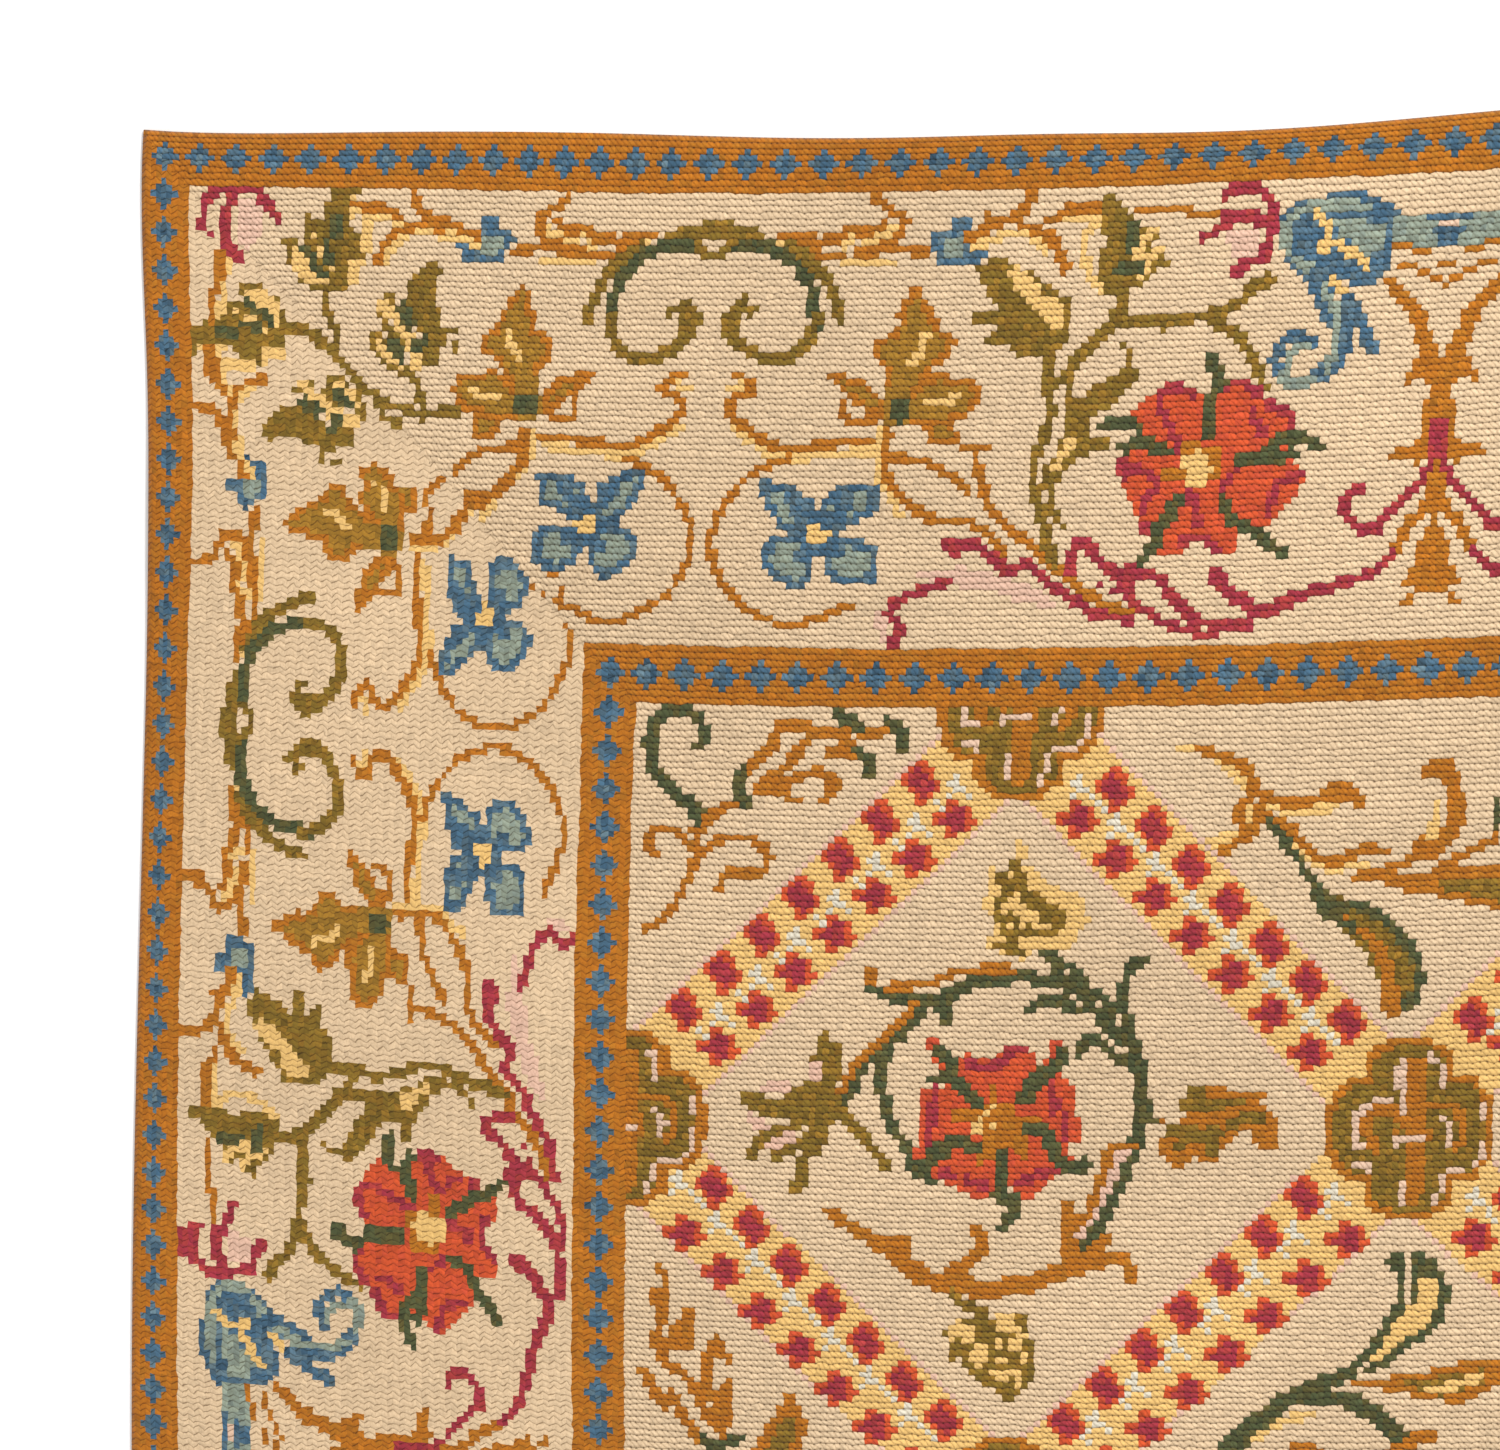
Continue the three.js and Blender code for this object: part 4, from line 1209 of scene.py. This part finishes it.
def paint(mesh, grid_place, low, sizes, colours, wall_stitch, along_rows):
    """Stitch coordinates, a map for baking and each stitch's colour, on the corners of the faces."""
    wide = COLUMNS + 1
    c = (grid_place % wide).astype(float)
    r = (grid_place // wide).astype(float)
    face = np.repeat(np.arange(len(sizes)), sizes)
    count = len(colours)
    is_wall = (face >= count) & (face < count + len(wall_stitch))
    is_under = face >= count + len(wall_stitch)
    stitch_u, stitch_v = (c, r) if along_rows else (r, c)
    stitch_v = np.where(is_wall & low, stitch_v - WALL_DROP, stitch_v)
    uv = mesh.uv_layers.new(name="Stitches")
    uv.data.foreach_set("uv", np.stack([stitch_u, stitch_v], 1).ravel().astype(np.float32))
    share = [(v - v.min()) / (v.max() - v.min()) for v in (c, r)]
    bake_u = np.where(is_under, in_band(UNDER_BAND["u"], share[0]), in_band(FACE_BAND["u"], share[0]))
    bake_v = np.where(is_under, in_band(UNDER_BAND["v"], share[1]), in_band(FACE_BAND["v"], 1 - share[1]))
    bake_v = np.where(is_wall, in_band(WALL_BAND, ~low), bake_v)
    baked = mesh.uv_layers.new(name="OFBake")
    baked.data.foreach_set("uv", np.stack([bake_u, bake_v], 1).ravel().astype(np.float32))
    canvas = np.repeat([CANVAS], len(sizes) - count - len(wall_stitch), 0)
    by_face = np.vstack([colours, colours[wall_stitch], canvas])
    rgba = np.c_[by_face[face], np.ones(len(face))]
    layer = mesh.color_attributes.new("Wool", "FLOAT_COLOR", "CORNER")
    layer.data.foreach_set("color", rgba.ravel().astype(np.float32))


# Wool: strands in rows, slanted or in a zigzag, with painted shade in the small gaps between them

def math_node(tree, operation, *values):
    node = tree.nodes.new("ShaderNodeMath")
    node.operation = operation
    for socket, value in zip(node.inputs, values):
        if isinstance(value, (int, float)):
            socket.default_value = value
        else:
            tree.links.new(value, socket)
    return node.outputs[0]


def map_range(tree, value, low, high, to_low, to_high):
    node = tree.nodes.new("ShaderNodeMapRange")
    node.interpolation_type = "SMOOTHSTEP"
    tree.links.new(value, node.inputs["Value"])
    for name, number in (("From Min", low), ("From Max", high), ("To Min", to_low), ("To Max", to_high)):
        node.inputs[name].default_value = number
    return node.outputs["Result"]


def noise_node(tree, vector, scale, detail=2):
    node = tree.nodes.new("ShaderNodeTexNoise")
    node.inputs["Scale"].default_value = scale
    node.inputs["Detail"].default_value = detail
    tree.links.new(vector, node.inputs["Vector"])
    return node.outputs["Fac"]


SLANT = 0.75          # how far a strand leans along its row, in stitches
ZIGZAG = 0.5          # how far it leans up and down by turns, in the side strips
STRAND_DEPTH = 0.0011          # metres
# Painted shade in the holes at the stitch corners
HOLE_SHADE = {"low": 0.1, "high": 0.8, "to_low": 0.34, "to_high": 1}            # by distance from a stitch corner
SHADED_SIDE = {"low": 0.45, "high": 1, "to_low": 1, "to_high": 0.74}      # by place in the row
# Painted shade in the grooves between rows
SHADE_BETWEEN_ROWS = {"low": 0, "high": 0.4, "to_low": 0.84, "to_high": 1}
# Painted shadow in the gaps between the side strips' strands, darker in every other row
STRAND_GAP = {"low": 0, "high": 0.62, "to_low": 1, "to_high": 0}
GAP_SHADE = {"low": 0.3, "high": 0.7, "to_low": -0.7, "to_high": -0.34}   # by turns
ROUGHNESS = {"low": 0.3, "high": 0.7, "to_low": 0.86, "to_high": 0.98}    # by fibre
# Sway of the rows: its scale, how far it goes along a row in stitches, and its share across the row
SWAY_SCALE = 0.9
SWAY = 0.6
SWAY_ACROSS = 0.6
# Pairs of a factor and what is added to it; the first, for the strands' tone, is painted shade at their edges
# and a painted highlight on their crowns
STRAND_ROUND_SHADE = (0.34, 0.82)
TURNED_ROW = (0.25, 0.75)
FIBRE_TONE = (0.3, 0.9)
LUMP_TONE = (0.5, 0.77)
STRAND_HEIGHT = (0.42, 0.58)

FIBRE_HEIGHT = 0.2             # of the fibres in the relief, beside strands of 1
TURNED_TONE = 1.03             # of the side strips' wool where no gap darkens it
# How much faster green and blue fall than red where painted shade and random mottling make the wool darker
GREEN_FALL = 1.12
BLUE_FALL = 1.25


def rounded(tree, value, power):
    """Rounds side by side, one to each whole number of the value. A low power makes them flatter."""
    wave = math_node(tree, "ABSOLUTE", math_node(tree, "SINE", math_node(tree, "MULTIPLY", value, math.pi)))
    return math_node(tree, "POWER", wave, power)


def stitch_place(tree):
    """Coordinates along and across the rows, a little unsteady."""
    place_node = tree.nodes.new("ShaderNodeUVMap")
    place_node.uv_map = "Stitches"
    place_at = place_node.outputs["UV"]
    split = tree.nodes.new("ShaderNodeSeparateXYZ")
    tree.links.new(place_at, split.inputs[0])
    noise = math_node(tree, "SUBTRACT", noise_node(tree, place_at, SWAY_SCALE), 0.5)
    sway = math_node(tree, "MULTIPLY", noise, SWAY)
    u = math_node(tree, "ADD", split.outputs["X"], sway)
    v = math_node(tree, "ADD", split.outputs["Y"], math_node(tree, "MULTIPLY", sway, SWAY_ACROSS))
    return place_at, u, v


def row_work(tree, u, v):
    """Strands that all lean one way: the rounds of rows and of strands, and how light the wool looks, with
    painted shade in the holes, on the lower part of each row, between rows and at the edges of strands, and a
    painted highlight on their crowns.
    """
    in_row = math_node(tree, "FRACT", v)
    strand = rounded(tree, math_node(tree, "MULTIPLY_ADD", in_row, -SLANT, u), 0.7)
    row = rounded(tree, v, 1)
    column = rounded(tree, u, 1)
    squares = math_node(tree, "ADD", math_node(tree, "POWER", row, 2), math_node(tree, "POWER", column, 2))
    # Painted shade in the holes at the stitch corners
    hole_shade = map_range(tree, math_node(tree, "SQRT", squares), **HOLE_SHADE)
    # Painted shade on the lower part of each row
    shaded_side = map_range(tree, in_row, **SHADED_SIDE)
    tone = math_node(tree, "MULTIPLY", hole_shade, shaded_side)
    # Painted shade in the grooves between rows
    tone = math_node(tree, "MULTIPLY", tone, map_range(tree, row, **SHADE_BETWEEN_ROWS))
    # Painted shade at the edges of the strands and a painted highlight on their crowns
    tone = math_node(tree, "MULTIPLY", tone, math_node(tree, "MULTIPLY_ADD", strand, *STRAND_ROUND_SHADE))
    return row, strand, tone


def turned_work(tree, u, v):
    """Strands that lean up and down by turns, as in the side strips: the same three things, with a painted
    shadow in the gaps between strands.
    """
    turn = math_node(tree, "FRACT", math_node(tree, "MULTIPLY", v, 0.5))
    swing = math_node(tree, "ABSOLUTE", math_node(tree, "MULTIPLY_ADD", turn, 2, -1))
    strand = rounded(tree, math_node(tree, "MULTIPLY_ADD", swing, -ZIGZAG, u), 0.8)
    row = math_node(tree, "MULTIPLY_ADD", rounded(tree, v, 0.5), *TURNED_ROW)
    # Painted shadow in the gap between strands, darker in every other row
    gap_shadow = map_range(tree, strand, **STRAND_GAP)
    depth = map_range(tree, turn, **GAP_SHADE)
    return row, strand, math_node(tree, "MULTIPLY_ADD", gap_shadow, depth, TURNED_TONE)


def wool_material(name, work):
    """Wool worked in one of the two ways, its tone holding painted shade and highlights. Fibres and lumps
    make it uneven in tone, height and roughness.
    """
    material = bpy.data.materials.new(name)
    material.use_nodes = True
    tree = material.node_tree
    shader = tree.nodes["Principled BSDF"]
    place_at, u, v = stitch_place(tree)
    row, strand, tone = work(tree, u, v)
    fibre = noise_node(tree, place_at, 7, 3)
    lumps = noise_node(tree, place_at, 2.2, 1)
    tone = math_node(tree, "MULTIPLY", tone, math_node(tree, "MULTIPLY_ADD", fibre, *FIBRE_TONE))
    tone = math_node(tree, "MULTIPLY", tone, math_node(tree, "MULTIPLY_ADD", lumps, *LUMP_TONE))
    colour = wool_tint(tree, tone)
    tree.links.new(colour, shader.inputs["Base Color"])
    height = math_node(tree, "MULTIPLY", math_node(tree, "POWER", row, 0.6),
                       math_node(tree, "MULTIPLY_ADD", strand, *STRAND_HEIGHT))
    height = math_node(tree, "MULTIPLY_ADD", fibre, FIBRE_HEIGHT, height)
    bump = tree.nodes.new("ShaderNodeBump")
    bump.inputs["Strength"].default_value = 0.8
    bump.inputs["Distance"].default_value = STRAND_DEPTH
    tree.links.new(height, bump.inputs["Height"])
    tree.links.new(bump.outputs["Normal"], shader.inputs["Normal"])
    tree.links.new(map_range(tree, fibre, **ROUGHNESS), shader.inputs["Roughness"])
    shader.inputs["Sheen Weight"].default_value = 0.12
    shader.inputs["Sheen Roughness"].default_value = 0.5
    shader.inputs["Specular IOR Level"].default_value = 0.2
    return material


def wool_tint(tree, tone):
    """The stitch's own colour, darkened by the tone with its painted shade, deeper and warmer where the tone
    is low.
    """
    wool = tree.nodes.new("ShaderNodeVertexColor")
    wool.layer_name = "Wool"
    tint = tree.nodes.new("ShaderNodeCombineColor")
    tree.links.new(tone, tint.inputs["Red"])
    tree.links.new(math_node(tree, "POWER", tone, GREEN_FALL), tint.inputs["Green"])
    tree.links.new(math_node(tree, "POWER", tone, BLUE_FALL), tint.inputs["Blue"])
    shaded = tree.nodes.new("ShaderNodeMix")
    shaded.data_type = "RGBA"
    shaded.blend_type = "MULTIPLY"
    shaded.inputs["Factor"].default_value = 1
    tree.links.new(wool.outputs["Color"], shaded.inputs["A"])
    tree.links.new(tint.outputs["Color"], shaded.inputs["B"])
    return shaded.outputs["Result"]


def build_rug():
    upper, lower = sheet_points()
    chart = whole_chart()
    colours = wool_colours(chart)
    c, r = np.meshgrid(np.arange(COLUMNS), np.arange(ROWS))
    masks = {"lattice_field": field_mask(c, r), **strip_masks(c, r)}
    along, turned = wool_material("wool_rows", row_work), wool_material("wool_turned", turned_work)
    for name, mask in masks.items():
        on_side = name in ("border_left", "border_right")
        piece = closed_sheet(name, mask, upper, lower, colours, not on_side)
        piece.data.materials.append(turned if on_side else along)
        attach(piece, "root")
        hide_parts("needlework_rug")


# Surroundings: a pale floor, soft lights and the camera

EYE = (0.1463, 0.8277, 2.9423)     # from the middle of the even layout
LENS_TILT = math.radians(11)
LENS_ROLL = math.radians(-1.99)
FOCAL_PIXELS = 4400
PHOTO_WIDTH = 1500
SENSOR = 36
FLOOR_REACH = 9
FLOOR_GAP = 0.0004             # below the rug, so that the two faces don't meet
ROOM_LIGHT = 0.62


def pale_floor():
    mesh = bpy.data.meshes.new("floor")
    corners = [(x * FLOOR_REACH, y * FLOOR_REACH, 0) for x, y in ((-1, -1), (1, -1), (1, 1), (-1, 1))]
    mesh.from_pydata(corners, [], [(0, 1, 2, 3)])
    floor = bpy.data.objects.new("floor", mesh)
    floor.location.z = -FLOOR_GAP
    bpy.context.collection.objects.link(floor)
    material = bpy.data.materials.new("pale_floor")
    material.use_nodes = True
    shader = material.node_tree.nodes["Principled BSDF"]
    shader.inputs["Base Color"].default_value = (0.93, 0.93, 0.93, 1)
    shader.inputs["Roughness"].default_value = 0.9
    mesh.materials.append(material)


def soft_light(name, place_at, aim, size, power):
    light = bpy.data.lights.new(name, "AREA")
    light.shape = "DISK"
    light.size = size
    light.energy = power
    lamp = bpy.data.objects.new(name, light)
    bpy.context.collection.objects.link(lamp)
    lamp.location = place_at
    direction = lamp.location - Vector(aim)
    lamp.rotation_euler = direction.to_track_quat("Z", "Y").to_euler()


def lights():
    soft_light("key_light", (3.2, 4, 4.6), (0, 0.3, 0), 1.6, 375)
    soft_light("fill_light", (-3.2, -2.2, 4.5), (0, 0, 0), 3, 60)
    world = bpy.data.worlds.new("soft_room")
    world.use_nodes = True
    world.node_tree.nodes["Background"].inputs["Color"].default_value = (1, 1, 1, 1)
    world.node_tree.nodes["Background"].inputs["Strength"].default_value = ROOM_LIGHT
    bpy.context.scene.world = world


def camera():
    x, y = place(*np.meshgrid(np.arange(COLUMNS + 1.0), np.arange(ROWS + 1.0)))
    middle = [-(v.min() + v.max()) / 2 * MM for v in (x, y)]
    data = bpy.data.cameras.new("camera")
    data.sensor_width = SENSOR
    data.lens = FOCAL_PIXELS / PHOTO_WIDTH * SENSOR
    data.clip_end = 60
    view = bpy.data.objects.new("camera", data)
    bpy.context.collection.objects.link(view)
    turn = Matrix.Rotation(LENS_TILT, 4, "Y") @ Matrix.Rotation(LENS_ROLL, 4, "Z")
    view.matrix_world = Matrix.Translation((EYE[0] + middle[0], EYE[1] + middle[1], EYE[2])) @ turn
    bpy.context.scene.camera = view


camera()
build_rug()
pale_floor()
lights()
bpy.context.scene.view_settings.view_transform = "Standard"
